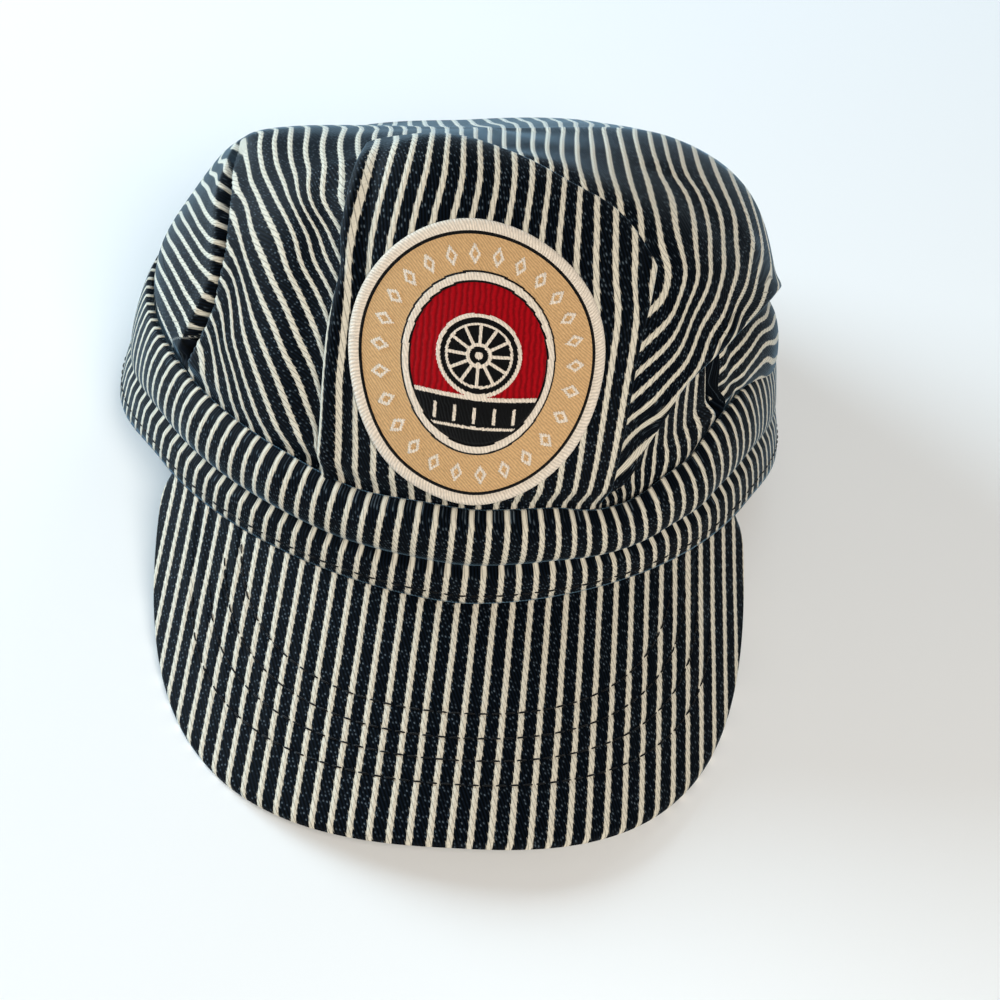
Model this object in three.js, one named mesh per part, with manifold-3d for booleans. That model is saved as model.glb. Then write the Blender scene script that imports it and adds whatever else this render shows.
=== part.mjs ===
// A soft striped denim conductor cap at rest: a puffed band, an arched bill, a tall front panel that
// leans back, a top-and-sides cloth with its folds, and a round-ended embroidered patch.
// Millimetres, +Z up, the bill points to -Y. The cloth is worked out in the cap's own frame, where the
// band's lower edge lies flat, and is then tipped back until the bill's corners and the back touch down.

import * as THREE from 'three';
import { mergeVertices } from 'three/addons/utils/BufferGeometryUtils.js';
import Module from 'manifold-3d';

const wasm = await Module();
wasm.setup();

// Head opening, seen from above: a rounded outline, a little narrower in front than an ellipse.
const HEAD_HALF_WIDTH = 95.4;
const HEAD_HALF_LENGTH = 101.6;
const HEAD_ROUNDNESS_FRONT = 1.78;
const HEAD_ROUNDNESS_BACK = 1.95;

// Band.
const BAND_HEIGHT = 34;
const BAND_WALL = 2.6;
const BAND_TOP_INSET = 5;
const BAND_SIDE_FLARE = 2.5;
const BAND_COLUMNS = 66;

// Bill: part of a cylinder whose axis slopes down to the front.
const BILL_ARCH_RADIUS = 125;
const BILL_SLOPE = 26.3;
const BILL_RISE = 14.6;
const BILL_HALF_WIDTH = 79.4;
const BILL_LENGTH = 60.2;
const BILL_SIDE_SWELL = 8;
const BILL_OUTLINE_ROUNDNESS = 2.3;
const BILL_THICKNESS = 3.6;
const BILL_UNDER_BAND = 2.2;

// Crown.
const CLOTH = 1.5;
const GAP = 0.35;
const PANEL_LIFT = 0.6;
const RIM_INSET = 7;
const RIM_TUCK_PANEL = 3;
const RIM_TUCK = 1.1;
const RIM_TUCK_RISE = 0.06;
const SKIRT_DEPTH = 5;
const CROWN_CENTRE_HEIGHT = 91;
const WALL_PER_RISE = 120;
const WALL_PER_DEGREE = 1.2;

// Patch.
const PATCH_HALF_WIDTH = 29.5;
const PATCH_HALF_HEIGHT = 33.5;
const PATCH_THICKNESS = 1.6;
const PATCH_CENTRE = { x: -2, up: 36 };

// The cap tips back by this much when it stands on the bill's corners and the band's back.
const REST_TILT = 4.95;
const FOOT_CUT = 0.5;

// How the slouching crown pulls the band's upper edge, going round from the front towards the right: up,
// and in towards the head.
const BAND_PULLS = [
  { angle: 0, up: 0, in: 0 },
  { angle: 8, up: 0, in: 0 },
  { angle: 16, up: -1, in: 0 },
  { angle: 24, up: -4.6, in: 0 },
  { angle: 32, up: -5.4, in: 0.6 },
  { angle: 38, up: -2.3, in: 0.8 },
  { angle: 44, up: -1, in: 1.2 },
  { angle: 50, up: 2.6, in: 2.6 },
  { angle: 60, up: 4, in: 3.6 },
  { angle: 72, up: 2.8, in: 3 },
  { angle: 84, up: -1, in: 0.8 },
  { angle: 100, up: 0, in: 0 },
  { angle: 280, up: 0, in: 0 },
  { angle: 300, up: -0.6, in: 0 },
  { angle: 326, up: -0.8, in: 0 },
  { angle: 338, up: -2, in: 0 },
  { angle: 350, up: 0, in: 0 },
];

const RISE_ROWS = [0, 0.28, 0.55, 0.78, 1];

// One row for each section of the crown, going round from the front towards the right. out is a share
// of the rim's distance from the middle, up is the height above the band's lower edge.
const SECTIONS = [
  { angle: 0, wallOut: 0.88, wallUp: 67, shoulderOut: 0.52, shoulderUp: 104, topOut: 0.27, topUp: 100 },
  { angle: 30, wallOut: 0.90, wallUp: 66, shoulderOut: 0.60, shoulderUp: 100, topOut: 0.32, topUp: 101 },
  { angle: 60, wallOut: 0.97, wallUp: 61, shoulderOut: 0.77, shoulderUp: 86, topOut: 0.45, topUp: 99 },
  { angle: 90, wallOut: 0.98, wallUp: 50, shoulderOut: 0.83, shoulderUp: 78, topOut: 0.51, topUp: 94 },
  { angle: 130, wallOut: 0.98, wallUp: 44, shoulderOut: 0.91, shoulderUp: 63, topOut: 0.53, topUp: 78 },
  { angle: 180, wallOut: 0.98, wallUp: 42, shoulderOut: 0.87, shoulderUp: 49, topOut: 0.48, topUp: 67 },
  { angle: 205, wallOut: 0.98, wallUp: 42, shoulderOut: 0.87, shoulderUp: 48, topOut: 0.5, topUp: 66 },
  { angle: 230, wallOut: 0.97, wallUp: 44, shoulderOut: 0.91, shoulderUp: 55, topOut: 0.56, topUp: 69 },
  { angle: 270, wallOut: 0.95, wallUp: 50, shoulderOut: 0.75, shoulderUp: 76, topOut: 0.62, topUp: 85 },
  { angle: 300, wallOut: 0.94, wallUp: 57, shoulderOut: 0.75, shoulderUp: 84, topOut: 0.44, topUp: 95 },
  { angle: 330, wallOut: 0.89, wallUp: 66, shoulderOut: 0.58, shoulderUp: 103, topOut: 0.32, topUp: 101 },
];

// Folds of the crown's cloth. Each runs along a path of [degrees round, share of rise]. The cloth goes
// in by depth at the path; near and far are the fold's widths above and below it in millimetres, and
// step is how much lower the cloth stays below the path.
const FOLDS = [
  { name: 'right overhang', depth: 1, near: 3, far: 5, step: 3.6,
    path: [[24, 0.01], [33, 0.09], [41, 0.234], [49, 0.313], [65, 0.353], [82, 0.31], [104, 0.16], [120, 0.02]] },
  { name: 'right pocket', depth: 4, near: 4, far: 4, step: 0,
    path: [[51, 0.05], [49, 0.15], [49, 0.27]] },
  { name: 'left valley', depth: 4.2, near: 4.5, far: 6.5, step: 0,
    path: [[-60, 0.06], [-58, 0.19], [-57.5, 0.28], [-59, 0.36], [-63, 0.45], [-71, 0.51], [-84, 0.55], [-100, 0.6]] },
  { name: 'left hole', depth: 3.5, near: 4, far: 5, step: 0,
    path: [[-58.5, 0.12], [-57.5, 0.26]] },
  { name: 'beside the tuck', depth: 2.2, near: 6, far: 9, step: 0,
    path: [[-27, 0.02], [-31, 0.15], [-34.5, 0.3], [-40, 0.43], [-44, 0.54], [-50, 0.66]] },
  { name: 'beside the right seam', depth: 1.8, near: 6, far: 6, step: 0,
    path: [[26, 0.02], [28, 0.2], [31, 0.32], [36, 0.4], [40, 0.455], [36, 0.52], [28, 0.57]] },
  { name: 'behind the top seam', depth: 1.6, near: 5, far: 5, step: 0,
    path: [[-52, 0.76], [-22, 0.7], [4, 0.65], [18, 0.6], [30, 0.58]] },
  { name: 'right shoulder dent', depth: 0.8, near: 7, far: 7, step: 0,
    path: [[62, 0.74], [60, 0.64], [63, 0.55], [68, 0.49]] },
  { name: 'back dent left', depth: 2.5, near: 12, far: 12, step: 0,
    path: [[-150, 0.12], [-140, 0.42], [-118, 0.66]] },
  { name: 'back dent right', depth: 2.5, near: 12, far: 12, step: 0,
    path: [[160, 0.12], [148, 0.4], [128, 0.62]] },
];

// The front panel's outline: half width at a share of rise, and the rise of its top edge at each x.
const PANEL_SIDES = [
  { rise: 0, left: -35, right: 33.5 },
  { rise: 0.12, left: -38, right: 35 },
  { rise: 0.3, left: -38.5, right: 36.5 },
  { rise: 0.45, left: -39, right: 40 },
  { rise: 0.6, left: -35, right: 41 },
  { rise: 0.75, left: -31, right: 41 },
];
const PANEL_TOP = [
  { x: -40, rise: 0.6 },
  { x: -28, rise: 0.73 },
  { x: -12, rise: 0.69 },
  { x: 2, rise: 0.63 },
  { x: 16, rise: 0.575 },
  { x: 28, rise: 0.54 },
  { x: 36, rise: 0.49 },
  { x: 41, rise: 0.44 },
];
const PANEL_COLUMNS = 20;
const PANEL_ROWS = 14;

// How the cloth of the band stands out from its plain wall, from the lower edge up.
const BAND_PROFILE = [
  { height: 0, out: 0 },
  { height: 0.16, out: 0.6 },
  { height: 0.33, out: -0.4 },
  { height: 0.39, out: -1.3 },
  { height: 0.48, out: 0.8 },
  { height: 0.66, out: 2.2 },
  { height: 0.84, out: 1.4 },
  { height: 0.95, out: -0.2 },
  { height: 1, out: -1.5 },
];

const COLOURS = { denim: 0x27394a, patch: 0xd8b88c };

const radians = THREE.MathUtils.degToRad;
const smooth = (low, high, value) => THREE.MathUtils.smoothstep(value, low, high);
const signedPower = (value, power) => Math.sign(value) * Math.abs(value) ** power;
const turnedAngle = (angle) => THREE.MathUtils.euclideanModulo(angle + 180, 360) - 180;
const sideAngle = (angle) => Math.abs(turnedAngle(angle));

// Smooth curve through the rows of a table, read at any place; a turn makes it close on itself.
function through(rows, key, column, place, turn = 0) {
  const count = rows.length;
  const at = (index) => {
    if (!turn) {
      const held = THREE.MathUtils.clamp(index, 0, count - 1);
      return { place: rows[held][key], value: rows[held][column] };
    }
    const turns = Math.floor(index / count);
    const row = rows[index - turns * count];
    return { place: row[key] + turns * turn, value: row[column] };
  };
  const wanted = turn ? THREE.MathUtils.euclideanModulo(place, turn) : place;
  const last = turn ? count - 1 : count - 2;
  let index = 0;
  while (index < last && at(index + 1).place <= wanted) index += 1;
  const [before, start, end, after] = [at(index - 1), at(index), at(index + 1), at(index + 2)];
  const span = end.place - start.place;
  const share = THREE.MathUtils.clamp((wanted - start.place) / span, 0, 1);
  const slopeStart = (end.value - before.value) / (end.place - before.place) * span;
  const slopeEnd = (after.value - start.value) / (after.place - start.place) * span;
  const square = share * share;
  const cube = square * share;
  return (2 * cube - 3 * square + 1) * start.value + (cube - 2 * square + share) * slopeStart
    + (3 * square - 2 * cube) * end.value + (cube - square) * slopeEnd;
}

// Point of the head outline, inset from the band's lower edge.
function headOutline(angle, inset = 0) {
  const turn = radians(angle);
  const backness = smooth(90, 150, sideAngle(angle));
  const power = 2 / THREE.MathUtils.lerp(HEAD_ROUNDNESS_FRONT, HEAD_ROUNDNESS_BACK, backness);
  return {
    x: (HEAD_HALF_WIDTH - inset) * signedPower(Math.sin(turn), power),
    y: -(HEAD_HALF_LENGTH - inset) * signedPower(Math.cos(turn), power),
  };
}

// Height of the bill's upper surface.
function billHeight(x, y) {
  const forward = -HEAD_HALF_LENGTH - y;
  const drop = BILL_ARCH_RADIUS - Math.sqrt(BILL_ARCH_RADIUS ** 2 - x * x);
  return BILL_RISE - Math.tan(radians(BILL_SLOPE)) * forward - drop / Math.cos(radians(BILL_SLOPE));
}

const BILL_END = THREE.MathUtils.radToDeg(
  Math.asin((BILL_HALF_WIDTH / HEAD_HALF_WIDTH) ** (HEAD_ROUNDNESS_FRONT / 2)),
);

// Height of the band's lower edge: on the bill in front, level behind.
function bandLowerHeight(angle, inset = 0) {
  const side = sideAngle(angle);
  const held = Math.min(side, BILL_END);
  const edge = headOutline(held, inset);
  return billHeight(edge.x, edge.y) * (1 - smooth(BILL_END, BILL_END + 29, side));
}

const bandPull = (angle, column) => through(BAND_PULLS, 'angle', column, angle, 360);
const bandUpperHeight = (angle) => 0.35 * bandLowerHeight(angle) + BAND_HEIGHT + bandPull(angle, 'up');

// Height and distance, as a share, of the crown's smooth form at a share of rise from rim to middle.
function crownForm(angle, rise) {
  const section = (column) => through(SECTIONS, 'angle', column, angle, 360);
  const rows = [
    { rise: RISE_ROWS[0], out: 1, up: bandUpperHeight(angle) },
    { rise: RISE_ROWS[1], out: section('wallOut'), up: section('wallUp') },
    { rise: RISE_ROWS[2], out: section('shoulderOut'), up: section('shoulderUp') },
    { rise: RISE_ROWS[3], out: section('topOut'), up: section('topUp') },
    { rise: RISE_ROWS[4], out: 0, up: CROWN_CENTRE_HEIGHT },
  ];
  const rim = headOutline(angle, RIM_INSET);
  const pulled = headOutline(angle, RIM_INSET + bandPull(angle, 'in'));
  const out = through(rows, 'rise', 'out', rise);
  const nearRim = 1 - smooth(0, RISE_ROWS[1], rise);
  return new THREE.Vector3(
    rim.x * out + (pulled.x - rim.x) * nearRim,
    rim.y * out + (pulled.y - rim.y) * nearRim,
    through(rows, 'rise', 'up', rise),
  );
}

// Signed distance from a fold's path on the unrolled wall, positive above it, and how near its ends.
function nearPath(path, angle, rise) {
  let nearest = { distance: Infinity, sign: 1, share: 0 };
  for (let index = 0; index + 1 < path.length; index += 1) {
    const [a, b] = [path[index], path[index + 1]];
    const along = { u: (b[0] - a[0]) * WALL_PER_DEGREE, v: (b[1] - a[1]) * WALL_PER_RISE };
    const from = { u: (angle - a[0]) * WALL_PER_DEGREE, v: (rise - a[1]) * WALL_PER_RISE };
    const length = Math.hypot(along.u, along.v);
    const share = THREE.MathUtils.clamp((from.u * along.u + from.v * along.v) / length ** 2, 0, 1);
    const distance = Math.hypot(from.u - along.u * share, from.v - along.v * share);
    if (distance < nearest.distance) {
      const sign = Math.sign(along.u * from.v - along.v * from.u) || 1;
      nearest = { distance, sign, share: (index + share) / (path.length - 1) };
    }
  }
  return nearest;
}

// How far the folds take the cloth in at a place of the crown.
function foldDepth(angle, rise) {
  const turned = turnedAngle(angle);
  let depth = 0;
  for (const fold of FOLDS) {
    const { distance, sign, share } = nearPath(fold.path, turned, rise);
    const width = sign > 0 ? fold.near : fold.far;
    const fade = smooth(0, 0.16, share) * smooth(0, 0.16, 1 - share);
    depth += fold.depth * fade * Math.exp(-((distance / width) ** 2));
    if (sign < 0) depth += fold.step * fade * smooth(0, fold.far, distance);
  }
  return depth * smooth(0, 0.1, rise) * smooth(0, 0.12, 1 - rise);
}

// Outward direction of a surface given as a function of two values.
function outward(surface, u, v, stepU, stepV) {
  const alongU = surface(u + stepU, v).sub(surface(u - stepU, v));
  const alongV = surface(u, v + stepV).sub(surface(u, v - stepV));
  return alongU.cross(alongV).normalize();
}

// A place at a distance out from the crown's smooth form.
function offCrown(angle, rise, out) {
  const held = Math.min(Math.max(rise, 0.002), 0.985);
  return crownForm(angle, rise).addScaledVector(outward(crownForm, angle, held, 0.5, 0.002), out);
}

// How far the cloth goes in behind the band, more where the front panel lies over it.
function rimTuck(angle) {
  return THREE.MathUtils.lerp(RIM_TUCK_PANEL, RIM_TUCK, smooth(27, 40, sideAngle(angle)));
}

// The crown's cloth, tucked behind the band at its lower edge.
function crownPoint(angle, rise, out) {
  return offCrown(angle, rise, out - rimTuck(angle) * (1 - smooth(0, RIM_TUCK_RISE, rise)));
}

// Straight skirt of cloth that goes down inside the band.
function skirtPoint(angle, out) {
  const edge = headOutline(angle, RIM_INSET + bandPull(angle, 'in') + rimTuck(angle) - out);
  return new THREE.Vector3(edge.x, edge.y, bandUpperHeight(angle) - SKIRT_DEPTH);
}

// Angle round the crown where the smooth form has this x at this rise, in front of the middle.
function angleAt(x, rise) {
  let [low, high] = [-88, 88];
  for (let step = 0; step < 24; step += 1) {
    const middle = (low + high) / 2;
    if (crownForm(middle, rise).x < x) low = middle;
    else high = middle;
  }
  return (low + high) / 2;
}

// Share of rise at a length of cloth up the wall from the band, at an angle round the crown.
function riseAt(angle, length) {
  const step = 0.02;
  let rise = 0;
  let walked = 0;
  while (rise < 1) {
    const next = crownForm(angle, rise).distanceTo(crownForm(angle, rise + step));
    if (walked + next >= length) return rise + step * (length - walked) / next;
    walked += next;
    rise += step;
  }
  return 1;
}

// Closed solid from a function point(column, row, layer), layer 0 outside and 1 inside.
// round joins the last column to the first; pole closes the last row to a single point.
function wallGeometry(point, columns, rows, { round = false, pole = false } = {}) {
  const positions = [];
  const ids = new Map();
  const lastColumn = round ? columns - 1 : columns;
  const id = (column, row, layer) => {
    const wrapped = round ? column % columns : column;
    const held = pole && row === rows ? 0 : wrapped;
    const key = `${held},${row},${layer}`;
    if (!ids.has(key)) {
      ids.set(key, positions.length / 3);
      positions.push(...point(held, row, layer).toArray());
    }
    return ids.get(key);
  };
  const index = [];
  const face = (a, b, c) => {
    if (a !== b && b !== c && a !== c) index.push(a, b, c);
  };
  const quad = (a, b, c, d) => {
    face(a, b, c);
    face(a, c, d);
  };
  for (let column = 0; column <= lastColumn - (round ? 0 : 1); column += 1) {
    for (let row = 0; row < rows; row += 1) {
      quad(id(column, row, 0), id(column + 1, row, 0), id(column + 1, row + 1, 0), id(column, row + 1, 0));
      quad(id(column, row + 1, 1), id(column + 1, row + 1, 1), id(column + 1, row, 1), id(column, row, 1));
    }
    quad(id(column, 0, 1), id(column + 1, 0, 1), id(column + 1, 0, 0), id(column, 0, 0));
    if (!pole) {
      quad(id(column, rows, 0), id(column + 1, rows, 0), id(column + 1, rows, 1), id(column, rows, 1));
    }
  }
  if (!round) {
    for (let row = 0; row < rows; row += 1) {
      quad(id(0, row, 1), id(0, row, 0), id(0, row + 1, 0), id(0, row + 1, 1));
      quad(id(columns, row, 0), id(columns, row, 1), id(columns, row + 1, 1), id(columns, row + 1, 0));
    }
  }
  return facingOut(positions, index);
}

// Geometry whose faces point out, whichever way the rows and columns ran.
function facingOut(positions, index) {
  const corner = (place) => new THREE.Vector3().fromArray(positions, 3 * index[place]);
  let volume = 0;
  for (let place = 0; place < index.length; place += 3) {
    volume += corner(place).dot(corner(place + 1).cross(corner(place + 2)));
  }
  if (volume < 0) index.reverse();
  const geometry = new THREE.BufferGeometry();
  geometry.setAttribute('position', new THREE.Float32BufferAttribute(positions, 3));
  geometry.setIndex(index);
  return geometry;
}

function toSolid(geometry) {
  const bare = geometry.clone();
  bare.deleteAttribute('normal');
  bare.deleteAttribute('uv');
  const merged = mergeVertices(bare);
  return new wasm.Manifold(new wasm.Mesh({
    numProp: 3,
    vertProperties: new Float32Array(merged.attributes.position.array),
    triVerts: new Uint32Array(merged.index.array),
  }));
}

function fromSolid(solid) {
  const mesh = solid.getMesh();
  const geometry = new THREE.BufferGeometry();
  geometry.setAttribute('position', new THREE.Float32BufferAttribute(mesh.vertProperties, 3));
  geometry.setIndex(new THREE.Uint32BufferAttribute(mesh.triVerts, 1));
  return geometry;
}

const cut = (geometry, cutter) => fromSolid(toSolid(geometry).subtract(toSolid(cutter)));

// Band: a closed strip round the head, creased at a third of its height and puffed above.
function bandGeometry() {
  const rows = BAND_PROFILE.length - 1;
  const point = (column, row, layer) => {
    const angle = column * 360 / BAND_COLUMNS;
    const { height, out } = BAND_PROFILE[row];
    const side = sideAngle(angle);
    const puff = out * (1 - 0.75 * smooth(45, 85, side));
    const flare = BAND_SIDE_FLARE * (1 - height) * smooth(BILL_END, BILL_END + 26, side);
    const stand = flare + (layer ? -BAND_WALL : puff);
    const inset = (BAND_TOP_INSET + bandPull(angle, 'in')) * height - stand;
    const edge = headOutline(angle, inset);
    const low = bandLowerHeight(angle, height === 0 ? inset : 0);
    const high = bandUpperHeight(angle);
    return new THREE.Vector3(edge.x, edge.y, low + (high - low) * height);
  };
  return wallGeometry(point, BAND_COLUMNS, rows, { round: true });
}

// Bill: from under the band's front edge to a rounded outline, thinner at its rim.
function billGeometry() {
  const columns = 30;
  const rows = 8;
  const endY = headOutline(BILL_END).y;
  const reach = endY + HEAD_HALF_LENGTH + BILL_LENGTH * Math.cos(radians(BILL_SLOPE));
  const power = 2 / BILL_OUTLINE_ROUNDNESS;
  const plan = (across, forward) => {
    const inner = headOutline(across * BILL_END, BILL_UNDER_BAND);
    const turn = across * Math.PI / 2;
    const swell = BILL_SIDE_SWELL * Math.sin(turn) * Math.cos(turn);
    const outer = {
      x: BILL_HALF_WIDTH * signedPower(Math.sin(turn), power) + swell,
      y: endY - reach * signedPower(Math.cos(turn), power),
    };
    return {
      x: THREE.MathUtils.lerp(inner.x, outer.x, forward),
      y: THREE.MathUtils.lerp(inner.y, outer.y, forward),
    };
  };
  const surface = (across, forward) => {
    const { x, y } = plan(across, forward);
    return new THREE.Vector3(x, y, billHeight(x, y));
  };
  const point = (column, row, layer) => {
    const across = THREE.MathUtils.clamp(2 * column / columns - 1, -0.985, 0.985);
    const forward = row / rows;
    const direction = outward(surface, across * 0.97, Math.min(Math.max(forward, 0.05), 0.95), 0.01, 0.02);
    if (direction.z < 0) direction.negate();
    const rim = Math.max(smooth(0.9, 1, forward), smooth(0.93, 0.985, Math.abs(across)));
    const down = GAP + (layer ? BILL_THICKNESS - 0.7 * rim : 0.7 * rim);
    return surface(across, forward).addScaledVector(direction, -down);
  };
  return wallGeometry(point, columns, rows);
}

// Angles of the crown's columns: close together over the folds in front, wider behind.
function crownColumns() {
  const angles = [];
  for (let angle = -108; angle < 124; angle += 3.4) angles.push(angle);
  for (let angle = 126.6; angle < 252; angle += 7) angles.push(angle);
  return angles;
}

// Crown body: the top, sides and back, with an opening that the front panel closes.
function crownBodyGeometry() {
  const angles = crownColumns();
  const rises = [0, 0.03, 0.065, 0.11, 0.155, 0.2, 0.245, 0.29, 0.335, 0.38, 0.43, 0.48, 0.53, 0.59, 0.66, 0.75,
    0.86, 1];
  const point = (column, row, layer) => {
    const angle = angles[column];
    const inward = layer ? -CLOTH : 0;
    if (row === 0) return skirtPoint(angle, inward);
    const rise = rises[row - 1];
    if (rise === 1) return new THREE.Vector3(0, 0, CROWN_CENTRE_HEIGHT + inward);
    return crownPoint(angle, rise, inward - foldDepth(angle, rise));
  };
  const shell = wallGeometry(point, angles.length, rises.length, { round: true, pole: true });
  return cut(shell, panelOpening());
}

// Where a place of the front panel lies: across from side to side, up from the band to the top seam.
function panelPlace(across, up) {
  const topRise = (x) => through(PANEL_TOP, 'x', 'rise', x);
  const side = (rise, column) => through(PANEL_SIDES, 'rise', column, rise);
  let rise = up * 0.6;
  let x = 0;
  for (let step = 0; step < 6; step += 1) {
    x = THREE.MathUtils.lerp(side(rise, 'left'), side(rise, 'right'), (across + 1) / 2);
    rise = up * topRise(x);
  }
  return { x, rise };
}

// Opening behind the front panel, a margin inside its edges, made as a solid that passes the cloth.
function panelOpening() {
  const margin = 0.8;
  const point = (column, row, layer) => {
    const across = margin * (column / 6 - 1);
    const { x, rise } = panelPlace(across, 0.16 + 0.7 * row / 10);
    return crownPoint(angleAt(x, rise), rise, layer ? -8 : 6);
  };
  return wallGeometry(point, 12, 10);
}

// Front panel: lies over the edges of the crown body and goes down inside the band.
function crownFrontGeometry() {
  const point = (column, row, layer) => {
    const across = 2 * column / PANEL_COLUMNS - 1;
    const out = PANEL_LIFT + (layer ? 0 : CLOTH);
    if (row === 0) {
      const { x } = panelPlace(across, 0);
      return skirtPoint(angleAt(x, 0), out);
    }
    const { x, rise } = panelPlace(across, (row - 1) / (PANEL_ROWS - 1));
    return crownPoint(angleAt(x, rise), rise, out);
  };
  return wallGeometry(point, PANEL_COLUMNS, PANEL_ROWS);
}

// Patch: an upright oval that follows the front panel.
function patchGeometry() {
  const sectors = 28;
  const rings = 4;
  const point = (column, row, layer) => {
    const turn = 2 * Math.PI * column / sectors;
    const share = 1 - row / rings;
    const x = PATCH_CENTRE.x + PATCH_HALF_WIDTH * share * Math.cos(turn);
    const rise = riseAt(0, PATCH_CENTRE.up + PATCH_HALF_HEIGHT * share * Math.sin(turn));
    const crowned = PATCH_THICKNESS * (row === 0 ? 0.7 : 1);
    return offCrown(angleAt(x, rise), rise, PANEL_LIFT + CLOTH + GAP + (layer ? 0 : crowned));
  };
  return wallGeometry(point, sectors, rings, { round: true, pole: true });
}

const pieces = {
  band: { geometry: bandGeometry(), colour: COLOURS.denim },
  bill: { geometry: billGeometry(), colour: COLOURS.denim },
  crown_body: { geometry: crownBodyGeometry(), colour: COLOURS.denim },
  crown_front: { geometry: crownFrontGeometry(), colour: COLOURS.denim },
  patch: { geometry: patchGeometry(), colour: COLOURS.patch },
};

// Tip the cap back to its rest, with the middle of its box over the origin and its feet cut flat.
const tip = new THREE.Matrix4().makeRotationX(-radians(REST_TILT));
const bounds = new THREE.Box3();
for (const { geometry } of Object.values(pieces)) {
  geometry.applyMatrix4(tip);
  geometry.computeBoundingBox();
  bounds.union(geometry.boundingBox);
}
const middle = bounds.getCenter(new THREE.Vector3());
const shift = new THREE.Vector3(-middle.x, -middle.y, -bounds.min.z - FOOT_CUT);
const floor = new THREE.BoxGeometry(400, 400, 20).translate(0, 0, -10);

const cap = new THREE.Group();
for (const [name, { geometry, colour }] of Object.entries(pieces)) {
  geometry.translate(shift.x, shift.y, shift.z);
  const standing = name === 'band' || name === 'bill' ? cut(geometry, floor) : geometry;
  const material = new THREE.MeshStandardMaterial({ color: colour, roughness: 0.9, metalness: 0 });
  const mesh = new THREE.Mesh(standing, material);
  mesh.name = name;
  cap.add(mesh);
}

export default cap;
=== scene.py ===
"""A soft striped denim conductor cap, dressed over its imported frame.

Laid out as an add-on: each piece of the cap has its own operator, and the panel in the sidebar lists them.
"""

import math

import bpy
import numpy as np
from mathutils import Matrix, Vector


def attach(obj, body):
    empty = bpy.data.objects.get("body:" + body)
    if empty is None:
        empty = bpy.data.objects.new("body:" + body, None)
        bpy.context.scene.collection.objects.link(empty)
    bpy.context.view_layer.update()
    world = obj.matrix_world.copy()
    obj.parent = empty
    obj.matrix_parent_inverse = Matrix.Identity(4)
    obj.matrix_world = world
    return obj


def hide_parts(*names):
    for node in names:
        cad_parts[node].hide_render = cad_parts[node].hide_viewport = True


bl_info = {
    "name": "Conductor cap",
    "version": (1, 0, 0),
    "blender": (4, 5, 0),
    "location": "3D View > Sidebar > Cap",
    "description": "Builds a soft striped denim cap piece by piece",
    "category": "Mesh",
}

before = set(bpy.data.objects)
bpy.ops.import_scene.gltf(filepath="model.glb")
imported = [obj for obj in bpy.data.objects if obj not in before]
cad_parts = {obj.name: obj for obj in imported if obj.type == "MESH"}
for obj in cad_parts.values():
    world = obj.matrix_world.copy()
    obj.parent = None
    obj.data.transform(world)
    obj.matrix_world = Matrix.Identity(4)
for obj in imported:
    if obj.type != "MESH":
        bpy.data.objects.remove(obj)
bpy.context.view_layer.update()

# The cap's own numbers are in millimetres and degrees; Blender's lengths are in metres.
MM = 1000
FULL_TURN = 360

# The cap's own frame is in millimetres with the band's lower edge level; the cap then tips back to rest.
REST_TILT = math.radians(4.95)
REST_SHIFT_Y = 25.968
REST_SHIFT_Z = 8.496

# Head opening and band, in millimetres. The outline's roundness changes from the front's to the back's
# between two angles. Past the bill's end the lower edge comes level and the flare begins within some degrees,
# and the upper edge takes up a share of the lower edge's rise.
HEAD_HALF_WIDTH = 95.4
HEAD_HALF_LENGTH = 101.6
HEAD_ROUNDNESS_FRONT = 1.78
HEAD_ROUNDNESS_BACK = 1.95
HEAD_ROUNDNESS_TURN = (90, 150)
BAND_HEIGHT = 34
BAND_WALL = 2.6
BAND_TOP_INSET = 5
BAND_SIDE_FLARE = 2.5
BAND_FLARE_TURN = 26
BAND_LOWER_TURN = 29
BAND_UPPER_SHARE = 0.35

# Bill: part of a cylinder whose axis slopes down to the front.
BILL_ARCH_RADIUS = 125
BILL_SLOPE = math.radians(26.3)
BILL_RISE = 14.6
BILL_HALF_WIDTH = 79.4
BILL_LENGTH = 60.2
BILL_SIDE_SWELL = 8
BILL_OUTLINE_ROUNDNESS = 2.3
BILL_THICKNESS = 3.6
BILL_UNDER_BAND = 2.2

# Crown.
CLOTH = 1.5
GAP = 0.35
PANEL_LIFT = 0.6
RIM_INSET = 7
RIM_TUCK_PANEL = 3
RIM_TUCK = 1.1
RIM_TUCK_RISE = 0.06
SKIRT_DEPTH = 5
CROWN_CENTRE_HEIGHT = 91
WALL_PER_RISE = 120
WALL_PER_DEGREE = 1.2

# Where the tuck behind the band changes from the front panel's to the crown's, in degrees; the steps by which
# the smooth form's facing is found; and how near to the middle it is still found.
PANEL_TUCK_TURN = (27, 40)
STEP_ANGLE = 0.5
STEP_RISE = 0.002
FACING_TOP = 0.985

# Patch.
PATCH_HALF_WIDTH = 29.5
PATCH_HALF_HEIGHT = 33.5
PATCH_X = -2
PATCH_UP = 36

# Threads of the patch, as they are numbered in its materials. The ground, 0, is bare twill.
CREAM, BLACK, RED = 1, 2, 3

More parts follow.
